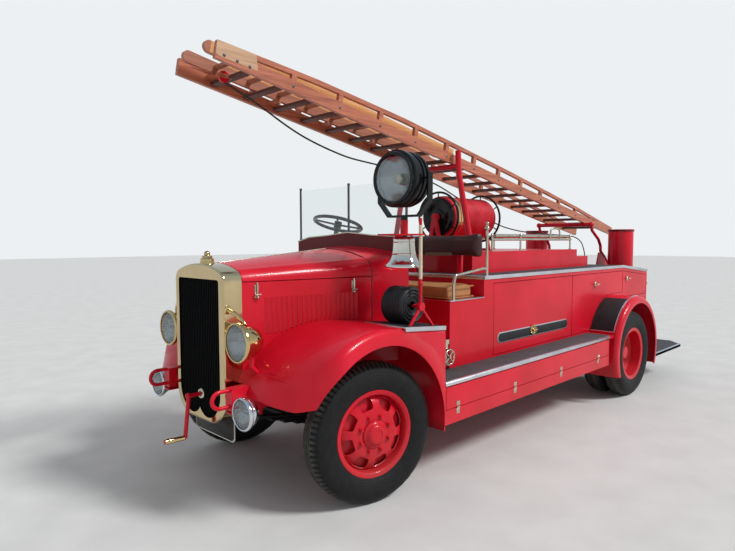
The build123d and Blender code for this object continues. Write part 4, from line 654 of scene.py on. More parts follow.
tread = tyre_rubber()
WHEELBASE, REAR_PLANES = 3.720, (0.925, 0.710)
KINGPIN_Y, STUB, STEER = 0.690, 0.085, radians(-11.1)       # the tyre's middle is out along the turned stub
SIDES = (("left", 1), ("right", -1))
for side_name, side in SIDES:
    front_axis = (-sin(STEER) * side, cos(STEER) * side, 0)
    front_centre = (STUB * front_axis[0], side * KINGPIN_Y + STUB * front_axis[1], TYRE_R)
    piece(f"tyre_front_{side_name}", [tyre_shape(front_centre, front_axis)], tread, f"front_wheel_{side_name}",
          stands_for=(f"front_tyre_{side_name}",))
    twins = [tyre_shape((-WHEELBASE, side * y, TYRE_R), (0, side, 0)) for y in REAR_PLANES]
    piece(f"tyres_rear_{side_name}", twins, tread, f"rear_wheels_{side_name}",
          stands_for=(f"rear_tyres_{side_name}",))

# %% [markdown]
# Front wheels.
# The front wheels are pressed steel discs, bulging outwards, with eight round-cornered hand holes at the
# rim, eight studs and a turned hub. The frame's holes are plain slots, so a finer wheel replaces each. The
# disc starts as an open spun sheet. The faces in the hand holes are taken out, the holes' corners are
# pulled in, and the sheet then gets its thickness.

# %% Front wheel disc
HOLES, HOLE_INNER, HOLE_OUTER = 8, 0.165, 0.224
DISC_SHEET = 0.007


def wheel_disc(centre, axis):
    """A pressed disc with eight hand holes, as a sheet with thickness."""
    profile = [(0.066, 0.150), (0.100, 0.151), (0.135, 0.150), (0.150, 0.149), (0.164, 0.147), (0.180, 0.142),
               (0.195, 0.135), (0.210, 0.126), (0.224, 0.115), (0.2405, 0.100)]
    shape = spun(profile, 96)
    inside = []
    for face in shape.faces:
        middle = face.calc_center_median()
        sector = (atan2(middle.y, middle.x) / (2 * pi / HOLES) + 0.4) % 1.0
        if HOLE_INNER < hypot(middle.x, middle.y) < HOLE_OUTER and 0.20 < sector < 0.80:
            inside.append(face)
    bmesh.ops.delete(shape, geom=inside, context="FACES")
    rim = [vert for vert in shape.verts
           if vert.is_boundary and HOLE_INNER - 0.010 < hypot(vert.co.x, vert.co.y) < HOLE_OUTER + 0.011]
    for _ in range(3):
        bmesh.ops.smooth_vert(shape, verts=rim, factor=0.5, use_axis_x=True, use_axis_y=True, use_axis_z=False)
    bmesh.ops.recalc_face_normals(shape, faces=shape.faces)
    bmesh.ops.solidify(shape, geom=shape.faces[:], thickness=DISC_SHEET)
    return stood(shape, centre, axis)


# %% Front wheels
RIM = [(0.240, 0.018), (0.271, 0.011), (0.275, 0.013), (0.275, 0.020), (0.262, 0.024), (0.254, 0.032),
       (0.254, 0.138), (0.262, 0.146), (0.275, 0.148), (0.277, 0.153), (0.275, 0.159), (0.268, 0.160),
       (0.262, 0.157), (0.252, 0.156), (0.246, 0.152), (0.241, 0.140), (0.238, 0.100), (0.240, 0.018)]
DRUM = [(0.030, 0.070), (0.070, 0.070), (0.070, 0.106), (0.165, 0.106), (0.165, 0.071), (0.224, 0.071),
        (0.226, 0.082), (0.222, 0.092), (0.180, 0.104), (0.120, 0.112), (0.074, 0.119)]
CAP = [(0.070, 0.150), (0.083, 0.151), (0.088, 0.156), (0.084, 0.162), (0.074, 0.164), (0.068, 0.170),
       (0.060, 0.182), (0.050, 0.188), (0.036, 0.189), (0.034, 0.186), (0.030, 0.186), (0, 0.187)]
NUT = [(0, 0.150), (0.017, 0.150), (0.017, 0.153), (0.0145, 0.154), (0.0145, 0.166), (0.012, 0.169),
       (0.008, 0.169), (0.008, 0.174), (0, 0.175)]
NUTS, NUT_CIRCLE = 8, 0.111
for side_name, side in SIDES:
    axis = Vector((-sin(STEER) * side, cos(STEER) * side, 0))
    post = Vector((0, side * KINGPIN_Y, TYRE_R))
    shapes = [wheel_disc(post, axis), turned(RIM, post, axis, 96), turned(DRUM + CAP, post, axis, 64)]
    for k in range(NUTS):
        angle = radians(360 / NUTS * (k + 0.5))
        spot = post + UP * NUT_CIRCLE * sin(angle) + axis.cross(UP) * NUT_CIRCLE * cos(angle)
        shapes.append(turned(NUT, spot, axis, 6))
    piece(f"pressed_wheel_{side_name}", shapes, red_enamel, f"front_wheel_{side_name}",
          stands_for=(f"front_wheel_{side_name}",))

# %% [markdown]
# Lamps.
# Each front lamp is a spun metal bowl with a rolled rim, a silvered reflector, a bulb and a fluted glass. A
# lamp only looks like one when light can go in through the glass and come back from the bowl, so the glass
# is a thin closed shell with air behind it. All four are turned from the same drawing: the two beside the
# radiator are large and brass, the two low ones in front are small, shallow and chromium plated.

# %% Lamps


def lamp_parts(centre, radius, depth):
    """Bowl, reflector, bulb and glass of one forward lamp, and of its twin."""
    r, d = radius, depth
    bowl = [(0, -d), (0.22 * r, -0.97 * d), (0.38 * r, -0.91 * d), (0.5 * r, -0.84 * d), (0.63 * r, -0.73 * d),
            (0.72 * r, -0.6 * d), (0.79 * r, -0.46 * d), (0.82 * r, -0.34 * d), (0.82 * r, -0.026)]
    bezel = [(0.86 * r, -0.024), (0.9 * r, -0.022), (0.9 * r, -0.011), (0.97 * r, -0.010), (r, -0.006),
             (r, 0.008), (0.97 * r, 0.013), (0.92 * r, 0.016), (0.88 * r, 0.014), (0.87 * r, 0.006)]
    deep = min(0.75 * d, 0.085)
    mirror_front = [(0.87 * r, 0.004), (0.8 * r, -0.2 * deep), (0.64 * r, -0.55 * deep),
                    (0.42 * r, -0.82 * deep), (0.2 * r, -0.96 * deep), (0, -deep)]
    mirror_back = [(a, b - 0.003) for a, b in reversed(mirror_front)]
    glass = [(0, 0.024), (0.4 * r, 0.022), (0.7 * r, 0.016), (0.87 * r, 0.009), (0.87 * r, 0.005),
             (0.7 * r, 0.012), (0.4 * r, 0.018), (0, 0.020)]
    bulb = [(0, -0.3 * deep), (0.07 * r, -0.36 * deep), (0.1 * r, -0.5 * deep), (0.08 * r, -0.66 * deep),
            (0.05 * r, -0.8 * deep), (0.05 * r, -deep)]
    return [pair(turned(profile, centre, (1, 0, 0), 56)) for profile in
            (bowl + bezel, mirror_front + mirror_back + mirror_front[:1], bulb, glass)]


head_bowls, head_mirrors, head_bulbs, head_glasses = lamp_parts((0.745, 0.428, 1.055), 0.122, 0.165)
fog_bowls, fog_mirrors, fog_bulbs, fog_glasses = lamp_parts((0.780, 0.532, 0.665), 0.097, 0.090)
fog_arms = pair(tube([(0.738, 0.430, 0.715), (0.738, 0.532, 0.715)], 0.012))
TAIL_LAMP = (-4.780, 0.700, 1.120)
tail_profile = [(0, 0.0), (0.042, 0.0), (0.042, 0.040), (0.038, 0.044), (0, 0.044)]
tail_bodies = pair(turned(tail_profile, TAIL_LAMP, (-1, 0, 0), 32))
tail_glass = [(0, 0.043), (0.035, 0.043), (0.034, 0.052), (0.026, 0.059), (0.012, 0.062), (0, 0.062)]
tail_glasses = pair(turned(tail_glass, TAIL_LAMP, (-1, 0, 0), 32))
frosted = clear("frosted bulb glass", "#F7F3E6", 0.35)
red_glass = clear("red lamp glass", "#A30D12", 0.08)
mirror_plate = metal("silvered reflector", "#C4C8CC", "#A4A9AE", 0.09)
for name, shapes, finish, slot in (("head_lamp_bowls", head_bowls, polished_brass, "brass"),
                                   ("head_lamp_reflectors", head_mirrors + fog_mirrors, mirror_plate, "nickel"),
                                   ("lamp_bulbs", head_bulbs + fog_bulbs, frosted, "clear_glass"),
                                   ("lamp_glasses", head_glasses + fog_glasses, lens_glass, "clear_glass"),
                                   ("fog_lamp_bowls", fog_bowls + fog_arms, chromium_plate, "nickel"),
                                   ("tail_lamp_bodies", tail_bodies, black_enamel, "black_paint"),
                                   ("tail_lamp_glasses", tail_glasses, red_glass, "clear_glass")):
    piece(name, shapes, finish, "vehicle", stands_for=("lamps",))
arm = tube([(0.730, 0.294, 1.236), (0.722, 0.345, 1.226), (0.705, 0.395, 1.200), (0.690, 0.425, 1.155)], 0.013,
           smooth=True)
eye = [(0, -0.006), (0.024, -0.006), (0.026, 0.0), (0.022, 0.006), (0, 0.008)]
arm_eye = turned(eye, (0.730, 0.301, 1.236), (0, 1, 0), 28)
piece("head_lamp_arms", pair(arm) + pair(arm_eye), polished_brass, "vehicle")

# %% [markdown]
# Searchlight glass.
# The black drum comes from the frame. Its front gets a silvered dish just in front of the frame's own dish,
# a cap over the bulb, a domed glass inside the rim and a rolled lip round it, all turned on the drum's own
# axis.

# %% Searchlight glass
SEARCHLIGHT = (-0.310, 0.780, 2.045)
dish = [(0, 0.034), (0.060, 0.040), (0.120, 0.058), (0.160, 0.084), (0.166, 0.093), (0.168, 0.091),
        (0.162, 0.082), (0.121, 0.056), (0.060, 0.038), (0, 0.032)]
pane = [(0, 0.108), (0.060, 0.106), (0.120, 0.101), (0.166, 0.094), (0.166, 0.091), (0.120, 0.098),
        (0.060, 0.103), (0, 0.105)]
cap = [(0, 0.045), (0.030, 0.046), (0.034, 0.050), (0.034, 0.066), (0.020, 0.070), (0, 0.070)]
lip = [(0.147, 0.109), (0.166, 0.107), (0.171, 0.113), (0.168, 0.119), (0.152, 0.117), (0.147, 0.109)]
for name, profile, steps, finish, slot in (("dish", dish, 64, mirror_plate, "nickel"),
                                           ("glass", pane, 64, lens_glass, "clear_glass"),
                                           ("bulb_cap", cap, 32, nickel_plate, "nickel"),
                                           ("lip", lip, 64, black_enamel, "black_paint")):
    shape = turned(profile, SEARCHLIGHT, (1, 0, 0), steps)
    piece(f"searchlight_{name}", [shape], finish, "searchlight_head")

# %% [markdown]
# Bell.
# A cast bell, polished all over, with a flared mouth and three turned lines round its waist. The frame's
# bell has few facets, so a smoother one with the lines cut in replaces it.

# %% Bell
shoulder = [(0, 1.6715), (0.050, 1.6715), (0.064, 1.669), (0.070, 1.663), (0.072, 1.654), (0.0725, 1.640)]
waist = [(0.0745, 1.638), (0.0745, 1.634), (0.073, 1.632), (0.0745, 1.610), (0.0765, 1.585), (0.079, 1.565),
         (0.0825, 1.562), (0.0825, 1.557), (0.081, 1.554), (0.086, 1.538), (0.092, 1.524), (0.100, 1.511)]
mouth = [(0.109, 1.501), (0.1155, 1.495), (0.1185, 1.494), (0.121, 1.490), (0.126, 1.482), (0.128, 1.475),
         (0.127, 1.4725), (0.121, 1.4725)]
hollow = [(0.104, 1.492), (0.088, 1.510), (0.074, 1.535), (0.066, 1.560), (0.060, 1.610), (0.050, 1.640),
          (0, 1.656)]
casting = turned(shoulder + waist + mouth + hollow, (-0.310, 0.780, 0), steps=64)
piece("bell_casting", [casting], bell_metal, "vehicle", stands_for=("bell",))

# %% [markdown]
# Hose reel.
# Bright red rubber hose lies on the drum in even turns, between two black cheeks, with a black hoop
# standing out at each end. Hose wound on a drum looks like a row of round ridges, so one spun profile with
# a scallop for each turn gives it: 27 turns of 24 mm. Cheeks, hoops, spokes and boss are turned or bent
# like the rest.

# %% Hose reel
REEL_FRONT, REEL_BACK, REEL_HEIGHT = -1.650, -2.345, 1.863
CHEEK, HOSE_CORE, HOSE_WOUND, TURNS = 0.022, 0.120, 0.178, 27
RIDGE_STEPS = 5


def scallops(start, end, count, rise):
    """Round ridges side by side along a line in a profile, standing out to its left."""
    points = []
    along = Vector(end) - Vector(start)
    out = Vector((-along.y, along.x)).normalized() * rise
    for k in range(count):
        for step in range(RIDGE_STEPS):
            share = step / RIDGE_STEPS
            spot = Vector(start) + along * (k + share) / count + out * sin(pi * share)
            points.append(tuple(spot))
    return points + [tuple(end)]


reel_place = (0, 0, REEL_HEIGHT)
wound = [(HOSE_CORE, REEL_BACK + CHEEK)]
wound += scallops((HOSE_WOUND, REEL_BACK + CHEEK), (HOSE_WOUND, REEL_FRONT - CHEEK), TURNS, -0.012)
wound += [(HOSE_CORE, REEL_FRONT - CHEEK)]
piece("reel_hose", [turned(wound + wound[:1], reel_place, (1, 0, 0), 72)], red_hose, "hose_reel",
      sharp=60, stands_for=("hose_reel",))
HOOP_R, SPOKES = 0.225, 6
cheek = [(0, -CHEEK), (0.170, -CHEEK), (0.175, -0.018), (0.175, -0.004), (0.170, 0.0), (0.120, 0.0),
         (0.112, -0.006), (0.075, -0.006), (0.068, 0.0), (0.040, 0.002), (0.040, 0.012), (0, 0.012)]
hoop = [(HOOP_R + 0.010 * cos(a * pi / 5), 0.010 * sin(a * pi / 5)) for a in range(11)]
bolt = [(0, -0.001), (0.009, -0.001), (0.009, 0.005), (0.006, 0.008), (0, 0.008)]
boss = [(0, -0.060), (0.016, -0.060), (0.016, 0.012), (0.034, 0.012), (0.034, 0.022), (0.026, 0.028),
        (0.016, 0.030), (0.016, 0.060), (0, 0.060)]
ends, hubs = [], []
for x, out in ((REEL_FRONT, 1), (REEL_BACK, -1)):
    ends.append(turned(cheek, (x, 0, REEL_HEIGHT), (out, 0, 0), 64))
    middle = x - 0.010 * out
    ends.append(turned(hoop, (middle, 0, REEL_HEIGHT), (1, 0, 0), 72))
    for k in range(SPOKES):
        angle = radians(60 * k + 30)
        y, z = cos(angle), sin(angle)
        ends.append(tube([(middle, r * y, REEL_HEIGHT + r * z) for r in (0.150, HOOP_R)], 0.006, rounds=2))
        ends.append(turned(bolt, (x, 0.145 * y, REEL_HEIGHT + 0.145 * z), (out, 0, 0), 12))
    hubs.append(turned(boss, (x, 0, REEL_HEIGHT), (out, 0, 0), 32))
piece("reel_cheeks", ends, black_enamel, "hose_reel", stands_for=("hose_reel",))
piece("reel_hubs", hubs, red_enamel, "hose_reel", stands_for=("hose_reel",))
band = [(0.1895, -0.012), (0.195, -0.010), (0.196, 0), (0.195, 0.010), (0.1895, 0.012), (0.186, 0),
        (0.1895, -0.012)]
rings = [turned(band, (x, 0, REEL_HEIGHT), (1, 0, 0), 72) for x in (-1.735, -1.772)]
piece("reel_bands", rings, polished_brass, "hose_reel", stands_for=("hose_reel",))

# %% [markdown]
# Coil of hose on the wing.
# Black rubber hose wound on edge on the stand's pin: turns lie side by side across it and on top of each
# other, so the rim shows seven ridges and the outer face three. The same scalloped profile does it.

# %% Coil of hose
coil = [(0.050, 0.012), (0.050, 0.180)] + scallops((0.056, 0.181), (0.118, 0.181), 3, 0.009)
coil += [(0.119, 0.180)] + scallops((0.118, 0.010), (0.118, 0.180), 7, -0.007)[::-1]
coil += [(0.112, 0.004), (0.060, 0.003), (0.050, 0.012)]
piece("hose_coil", [turned(coil, (-0.300, 0.680, 1.222), (0, 1, 0), 72)], hose_rubber, "vehicle",
      sharp=80, stands_for=("suction_hose",))
COIL_PIN = (-0.300, 0.690, 1.222)
pin = turned([(0, 0.0), (0.012, 0.0), (0.012, 0.235), (0, 0.235)], COIL_PIN, (0, 1, 0), 20)
core = [(0.030, 0.004), (0.049, 0.004), (0.049, 0.170), (0.030, 0.170), (0.030, 0.004)]
piece("coil_spindle", [pin, turned(core, COIL_PIN, (0, 1, 0), 40)], black_enamel, "vehicle",
      stands_for=("suction_hose",))

# %% [markdown]
# Treads and edgings.
# Wherever a boot lands, the engine has ribbed rubber matting held down by an aluminium nosing: on the
# running boards, on the flat of the front wings, on the deck, up the front half of the rear wings, and
# round the rear step. A mat is a thin slab or, on the rear wing, a strip bent round the wing, cut from a
# spun band. Nosings are sawn to the outline of the edge they cover, with broken edges so that they catch a
# line of light.

# %% Running board mats
BOARD_TOP, BOARD_ENDS = 0.700, (-3.160, -0.480)
mats = pair(slab(BOARD_ENDS, (0.752, 0.982), (BOARD_TOP, BOARD_TOP + 0.004), 0.001))
piece("board_mats", mats, matting_along, "vehicle")
nosing = [(0.978, BOARD_TOP - 0.001), (0.978, BOARD_TOP + 0.006), (0.996, BOARD_TOP + 0.007),
          (1.005, BOARD_TOP), (1.006, BOARD_TOP - 0.022), (1.000, BOARD_TOP - 0.025),
          (0.998, BOARD_TOP - 0.001)]
nosings = pair(sawn(nosing, -3.108, -0.478, "x", 0.0015))
piece("board_nosings", nosings, aluminium_trim, "vehicle")

# %% [markdown]
# Front wings.
# The frame's wings are as wide in front as behind, and the real ones draw in towards a rounded nose. The
# plainest way is to bend what is there: a merged copy of the frame's mesh has its long edges divided, so
# that it bends without creases, and each point ahead of the axle then moves inwards, back and a little
# down. The further out and forward a point lies, the more it moves, and an S-shaped step lets the bend
# begin and end softly.

# %% Front wings
NOSE_START, NOSE_END, INNER, REACH = 0.400, 0.756, 0.560, 0.440
NOSE_IN, NOSE_BACK, NOSE_DOWN = 0.42 * REACH, 0.11, 0.05
LONG_EDGE = 0.06
wings = bmesh.new()
wings.from_mesh(nodes["front_wings"].data)
bmesh.ops.remove_doubles(wings, verts=wings.verts, dist=1e-5)
for _ in range(2):
    long_edges = [edge for edge in wings.edges if edge.calc_length() > LONG_EDGE
                  and max(vert.co.x for vert in edge.verts) > FRONT_AXLE + NOSE_START - 0.1]
    bmesh.ops.subdivide_edges(wings, edges=long_edges, cuts=2, use_grid_fill=True)
for vert in wings.verts:
    ahead = min(1.0, max(0.0, (vert.co.x - FRONT_AXLE - NOSE_START) / (NOSE_END - NOSE_START)))
    outward = max(0.0, (abs(vert.co.y) - INNER) / REACH)
    shift = NOSE_IN * outward * (3 * ahead ** 2 - 2 * ahead ** 3)
    vert.co.y -= shift if vert.co.y > 0 else -shift
    vert.co.x -= NOSE_BACK * outward ** 2 * ahead ** 1.5
    vert.co.z -= NOSE_DOWN * outward * ahead ** 2
piece("front_wing_shells", [wings], red_enamel, "vehicle", stands_for=("front_wings",))

# %% [markdown]
# Mats of the wings, the deck and the rear step.
# These follow slopes: the flat of a front wing falls by 4.7 degrees to the rear, and the deck drops behind
# the rear locker. So each outline is drawn in side view, from the same heights as the surface below it, and
# sawn across.

# %% Front wing mats
CROWN_END, FLAT_TOP, FLAT_SLOPE = 0.0387, 1.1218, tan(radians(4.7))


def wing_flat(x):
    """Height of the front wing's flat top."""
    return FLAT_TOP + (x - CROWN_END) * FLAT_SLOPE


x0, x1 = -0.478, -0.078
z0, z1 = wing_flat(x0), wing_flat(x1)
top_mat = sawn([(x0, z0), (x1, z1), (x1, z1 + 0.005), (x0, z0 + 0.005)], 0.630, 0.985, "y")
piece("wing_mats", pair(top_mat), black_rubber, "vehicle")
side_edge = sawn([(x0, z0 - 0.022), (x1, z1 - 0.022), (x1, z1 + 0.007), (x0, z0 + 0.007)],
                 0.982, 1.003, "y", 0.003)
front_edge = sawn([(x1 - 0.012, z1 - 0.002), (x1 + 0.006, z1 - 0.004), (x1 + 0.006, z1 + 0.006),
                   (x1 - 0.012, z1 + 0.007)], 0.640, 0.990, "y", 0.002)
piece("wing_mat_edges", pair(side_edge) + pair(front_edge), aluminium_trim, "vehicle")

# %% Deck matting and edge
DECK, KINK, TAIL, TAIL_DECK, DECK_NOSE = 1.362, -4.045, -4.780, 1.290, -1.290
deck_line = [(DECK_NOSE, DECK), (KINK, DECK), (TAIL, TAIL_DECK)]
over = [(x, z + 0.003) for x, z in deck_line]
piece("deck_matting", [sawn(deck_line + over[::-1], -0.746, 0.746, "y")], matting_across, "vehicle")
EDGE_UP, EDGE_DOWN = 0.006, 0.024       # how far an edging stands over the deck and hangs below it
rail = [(x, z + EDGE_UP) for x, z in deck_line] + [(x, z - EDGE_DOWN) for x, z in reversed(deck_line)]
sides = pair(sawn(rail, 0.744, 0.758, "y", 0.003))
nose_edge = sawn([(DECK_NOSE + 0.006, DECK + EDGE_UP), (DECK_NOSE + 0.006, DECK - EDGE_DOWN),
                  (DECK_NOSE - 0.006, DECK - EDGE_DOWN), (DECK_NOSE - 0.010, DECK + EDGE_UP)],
                 -0.745, 0.745, "y", 0.003)
tail_edge = slab((TAIL - 0.007, TAIL + 0.006), (-0.745, 0.745), (TAIL_DECK - EDGE_DOWN, TAIL_DECK + EDGE_UP),
                 0.003)
piece("deck_edging", sides + [nose_edge, tail_edge], aluminium_trim, "vehicle")
lip = pair(slab((-1.290, -0.852), (0.700, 0.756), (1.196, 1.204), 0.003))
piece("seat_box_edging", lip, aluminium_trim, "vehicle")

# %% Rear wing mats
WING_HUB = (-3.745, 0, 0.483)


def wing_strip(low, high, y0, y1, from_angle, to_angle):
    """A strip bent round the rear wing, between two radii, counted up from straight ahead."""
    band = [(low, y0), (low, y1), (high, y1), (high, y0)]
    shape = bmesh.new()
    verts = [shape.verts.new((r * cos(from_angle), y, r * sin(from_angle))) for r, y in band]
    face = shape.faces.new(verts)
    bmesh.ops.spin(shape, geom=[face, *face.edges, *face.verts], cent=(0, 0, 0), axis=(0, -1, 0), dvec=(0, 0, 0),
                   angle=to_angle - from_angle, steps=36)
    bmesh.ops.translate(shape, vec=at(*WING_HUB), verts=shape.verts)
    bmesh.ops.recalc_face_normals(shape, faces=shape.faces)
    return shape


START, STOP, BEAD_STOP = radians(25.5), radians(74), radians(96)
strips = pair(wing_strip(0.570, 0.575, 0.752, 0.992, START, STOP))
piece("rear_wing_mats", strips, black_rubber, "vehicle")
bead = pair(wing_strip(0.568, 0.580, 0.990, 1.000, START, BEAD_STOP))
bead += pair(wing_strip(0.568, 0.578, 0.756, 0.998, START - 0.014, START))
piece("rear_wing_beads", bead, aluminium_trim, "vehicle")

# %% Rear step edging
outer = [(-4.330, 1.030), (-5.180, 1.030), (-5.360, 0.880)]
inner = [(-4.330, 1.006), (-5.172, 1.006), (-5.336, 0.869)]
outer, inner = [line + [(x, -y) for x, y in reversed(line)] for line in (outer, inner)]
piece("rear_step_edging", [sawn(outer + inner[::-1], 0.333, 0.364, "z", 0.002)], aluminium_trim, "vehicle")
print("treads and edgings laid")

# %% [markdown]
# Door strip, latches and hinges.
# The long locker door carries a slate rubber rubbing strip in an aluminium frame with round ends, and a
# round brass ring latch at its middle. The other doors have small plated handles of the same kind. The flap
# below has four plated butt hinges. Every one rides on the door or flap that it is screwed to, and the
# barrel of a hinge, which lies on the hinge's own line, stays on the body.

# %% Rubbing strip and latches


def stadium(x0, x1, z0, z1):
    """An outline in x and z with round ends."""
    radius, middle = (z1 - z0) / 2, (z0 + z1) / 2
    right = [(x1 - radius + radius * sin(a * pi / 10), middle + radius * cos(a * pi / 10)) for a in range(11)]
    left = [(x0 + radius - radius * sin(a * pi / 10), middle - radius * cos(a * pi / 10)) for a in range(11)]
    return right + left


LATCH_X, LATCH_Z = -2.047, 0.860
rose = [(0, 0.0), (0.046, 0.0), (0.046, 0.006), (0.040, 0.009), (0.030, 0.006), (0.016, 0.007), (0.010, 0.012),
        (0, 0.012)]
ring = [(0.030 + 0.005 * cos(a * pi / 4), 0.016 + 0.005 * sin(a * pi / 4)) for a in range(9)]
spindle = [(0, 0.0), (0.010, 0.0), (0.010, 0.030), (0, 0.030)]
for side_name, side in SIDES:
    door = f"locker_door_{side_name}_1"
    frame_strip = sawn(stadium(-2.711, -1.486, 0.806, 0.894), side * 0.750, side * 0.755, "y", 0.002)
    rubber_strip = sawn(stadium(-2.702, -1.495, 0.815, 0.885), side * 0.754, side * 0.758, "y", 0.001)
    piece(f"door_strip_frame_{side_name}", [frame_strip], aluminium_trim, door)
    piece(f"door_strip_{side_name}", [rubber_strip], black_rubber, door)
    latch = [turned(rose, (LATCH_X, side * 0.757, LATCH_Z), (0, side, 0), 40),
             turned(ring, (LATCH_X, side * 0.757, LATCH_Z), (0, side, 0), 40),
             turned(spindle, (LATCH_X, side * 0.750, LATCH_Z), (0, side, 0), 20),
             slab((-2.0835, -2.0105), (side * 0.773, side * 0.789), (0.852, 0.868), 0.004)]
    piece(f"ring_latch_{side_name}", latch, polished_brass, door)

# %% Handles of the other doors
small_rose = [(0, 0.0), (0.027, 0.0), (0.028, 0.007), (0.020, 0.011), (0.010, 0.012), (0.010, 0.030),
              (0, 0.030)]
for side_name, side in SIDES:
    for number, x, z in ((2, -3.324, 1.193), (3, -4.158, 1.215)):
        handle = [turned(small_rose, (x, side * 0.7495, z), (0, side, 0), 32),
                  slab((x - 0.037, x + 0.037), (side * 0.773, side * 0.789), (z - 0.008, z + 0.008), 0.004)]
        door = f"locker_door_{side_name}_{number}"
        piece(f"door_handle_{side_name}_{number}", handle, nickel_plate, door)

# %% Flap hinges
HALF_LEAF, BARREL_Z, BARREL_R = 0.018, 0.5155, 0.0055
screw = [(0, 0.0), (0.005, 0.0), (0.004, 0.003), (0, 0.003)]
for side_name, side in SIDES:
    upper, lower = [], []
    for x in (-0.617, -1.352, -2.103, -2.852):
        ends = (x - HALF_LEAF, x + HALF_LEAF)
        upper.append(slab(ends, (side * 0.999, side * 1.003), (0.5275, 0.557), 0.001))
        lower.append(slab(ends, (side * 0.999, side * 1.002), (0.472, 0.510), 0.001))
        lower.append(tube([(end, side * 1.002, BARREL_Z) for end in ends], BARREL_R, rounds=2))
        for dx in (-0.009, 0.009):
            upper.append(turned(screw, (x + dx, side * 1.002, 0.543), (0, side, 0), 10))
            lower.append(turned(screw, (x + dx, side * 1.002, 0.484), (0, side, 0), 10))
    piece(f"flap_hinge_leaves_{side_name}", upper, nickel_plate, f"skirt_flap_{side_name}")
    piece(f"flap_hinge_barrels_{side_name}", lower, nickel_plate, "vehicle")

# %% [markdown]
# Small fittings of the front.
# Two plated clips hold each bonnet lid down, a long hinge runs down its crown, and a ring guides the
# starting handle through the radiator. The handle's grip is brass. All are bent from bar or turned, so the
# helpers make them.

# %% Bonnet clips and hinge
knob = [(0, -0.010), (0.009, -0.008), (0.012, 0), (0.009, 0.008), (0, 0.010)]
clips = []
for x, half in ((0.536, 0.3155), (-0.147, 0.4580)):
    spring = [(x, half + 0.010, 1.310), (x, half + 0.022, 1.345), (x, half + 0.012, 1.392)]
    clips.append(slab((x - 0.014, x + 0.014), (half, half + 0.006), (1.296, 1.380), 0.002))
    clips.append(tube(spring, 0.006, smooth=True))
    clips.append(tube([(x - 0.022, half + 0.016, 1.316), (x + 0.022, half + 0.016, 1.316)], 0.006))
    clips.append(turned(knob, (x, half + 0.016, 1.300), (0, 0, 1), 20))
clips = [twin for clip in clips for twin in pair(clip)]
piece("bonnet_clips", clips, nickel_plate, "vehicle")
hinge_rod = tube([(0.606, 0, 1.5085), (-0.296, 0, 1.5885)], 0.005)
piece("bonnet_hinge", [hinge_rod], nickel_plate, "vehicle")

# %% Starting handle
collar = [(0.017, 0.0), (0.030, 0.0), (0.034, 0.006), (0.030, 0.012), (0.021, 0.014), (0.017, 0.010),
          (0.017, 0.0)]
piece("crank_guide", [turned(collar, (0.744, 0, 0.680), (1, 0, 0), 40)], nickel_plate, "vehicle")
grip = [(0.0145, 0.0), (0.017, 0.002), (0.0165, 0.060), (0.0175, 0.110), (0.016, 0.124), (0.012, 0.127),
        (0.0145, 0.0)]
grip_axis = Vector((0.135, 0, 0.005)).normalized()
piece("crank_grip", [turned(grip, (0.872, 0, 0.4223), grip_axis, 32)], polished_brass, "crank")

# %% [markdown]
# Louvres and welt.
# Hot air leaves through twenty pressed louvres in each bonnet side. The frame has their steps, and a thin
# bar along each makes the rolled crest that catches the light. Its foot follows the wing below: an arc
# ahead of the place where the crown ends, and the flat behind it. A black welt round the scuttle keeps the
# lids from rattling.

# %% Louvres
LOUVRES, FIRST_LOUVRE, LOUVRE_PITCH, LOUVRE_TOP, LOUVRE_FOOT = 20, 0.482, 0.034, 1.294, 1.078
BONNET_FRONT, BONNET_FRONT_HALF, BONNET_FLARE = 0.610, 0.300, 0.190 / 0.910
FRONT_ARCH, FRONT_CROWN, CREST_BACK = (0.093, 0.461), 0.663, 0.011
louvres = []
for k in range(LOUVRES):
    x = FIRST_LOUVRE - LOUVRE_PITCH * k
    half = BONNET_FRONT_HALF + (BONNET_FRONT - x + CREST_BACK) * BONNET_FLARE
    crown = FRONT_ARCH[1] + (FRONT_CROWN ** 2 - (x - FRONT_ARCH[0]) ** 2) ** 0.5
    foot = max(LOUVRE_FOOT, (crown if x > CROWN_END else wing_flat(x)) + 0.008)
    crest = tube([(x - CREST_BACK, half + 0.0085, z) for z in (foot, LOUVRE_TOP)], 0.0042, rounds=2)
    louvres += pair(crest)
piece("louvre_crests", louvres, red_enamel, "vehicle")

# %% Bonnet welt
welt = [(0.0, 1.5885), (0.105, 1.583), (0.210, 1.572), (0.310, 1.554), (0.400, 1.528), (0.464, 1.494),
        (0.488, 1.440), (0.490, 1.080)]
welts = [tube([(-0.300, side * y, z + 0.001) for y, z in welt], 0.0045) for side in (1, -1)]
piece("bonnet_welt", welts, black_rubber, "vehicle")

# %% [markdown]
# Sleeve, plate and filler cap.
# The thin pole beside the bell has a cream sleeve. Under the radiator's foot stands a blank black plate
# with a pale border, which carries no number, and a turned brass cap closes the filler. The plate is two
# outlines sawn from sheet, the smaller one on the larger.

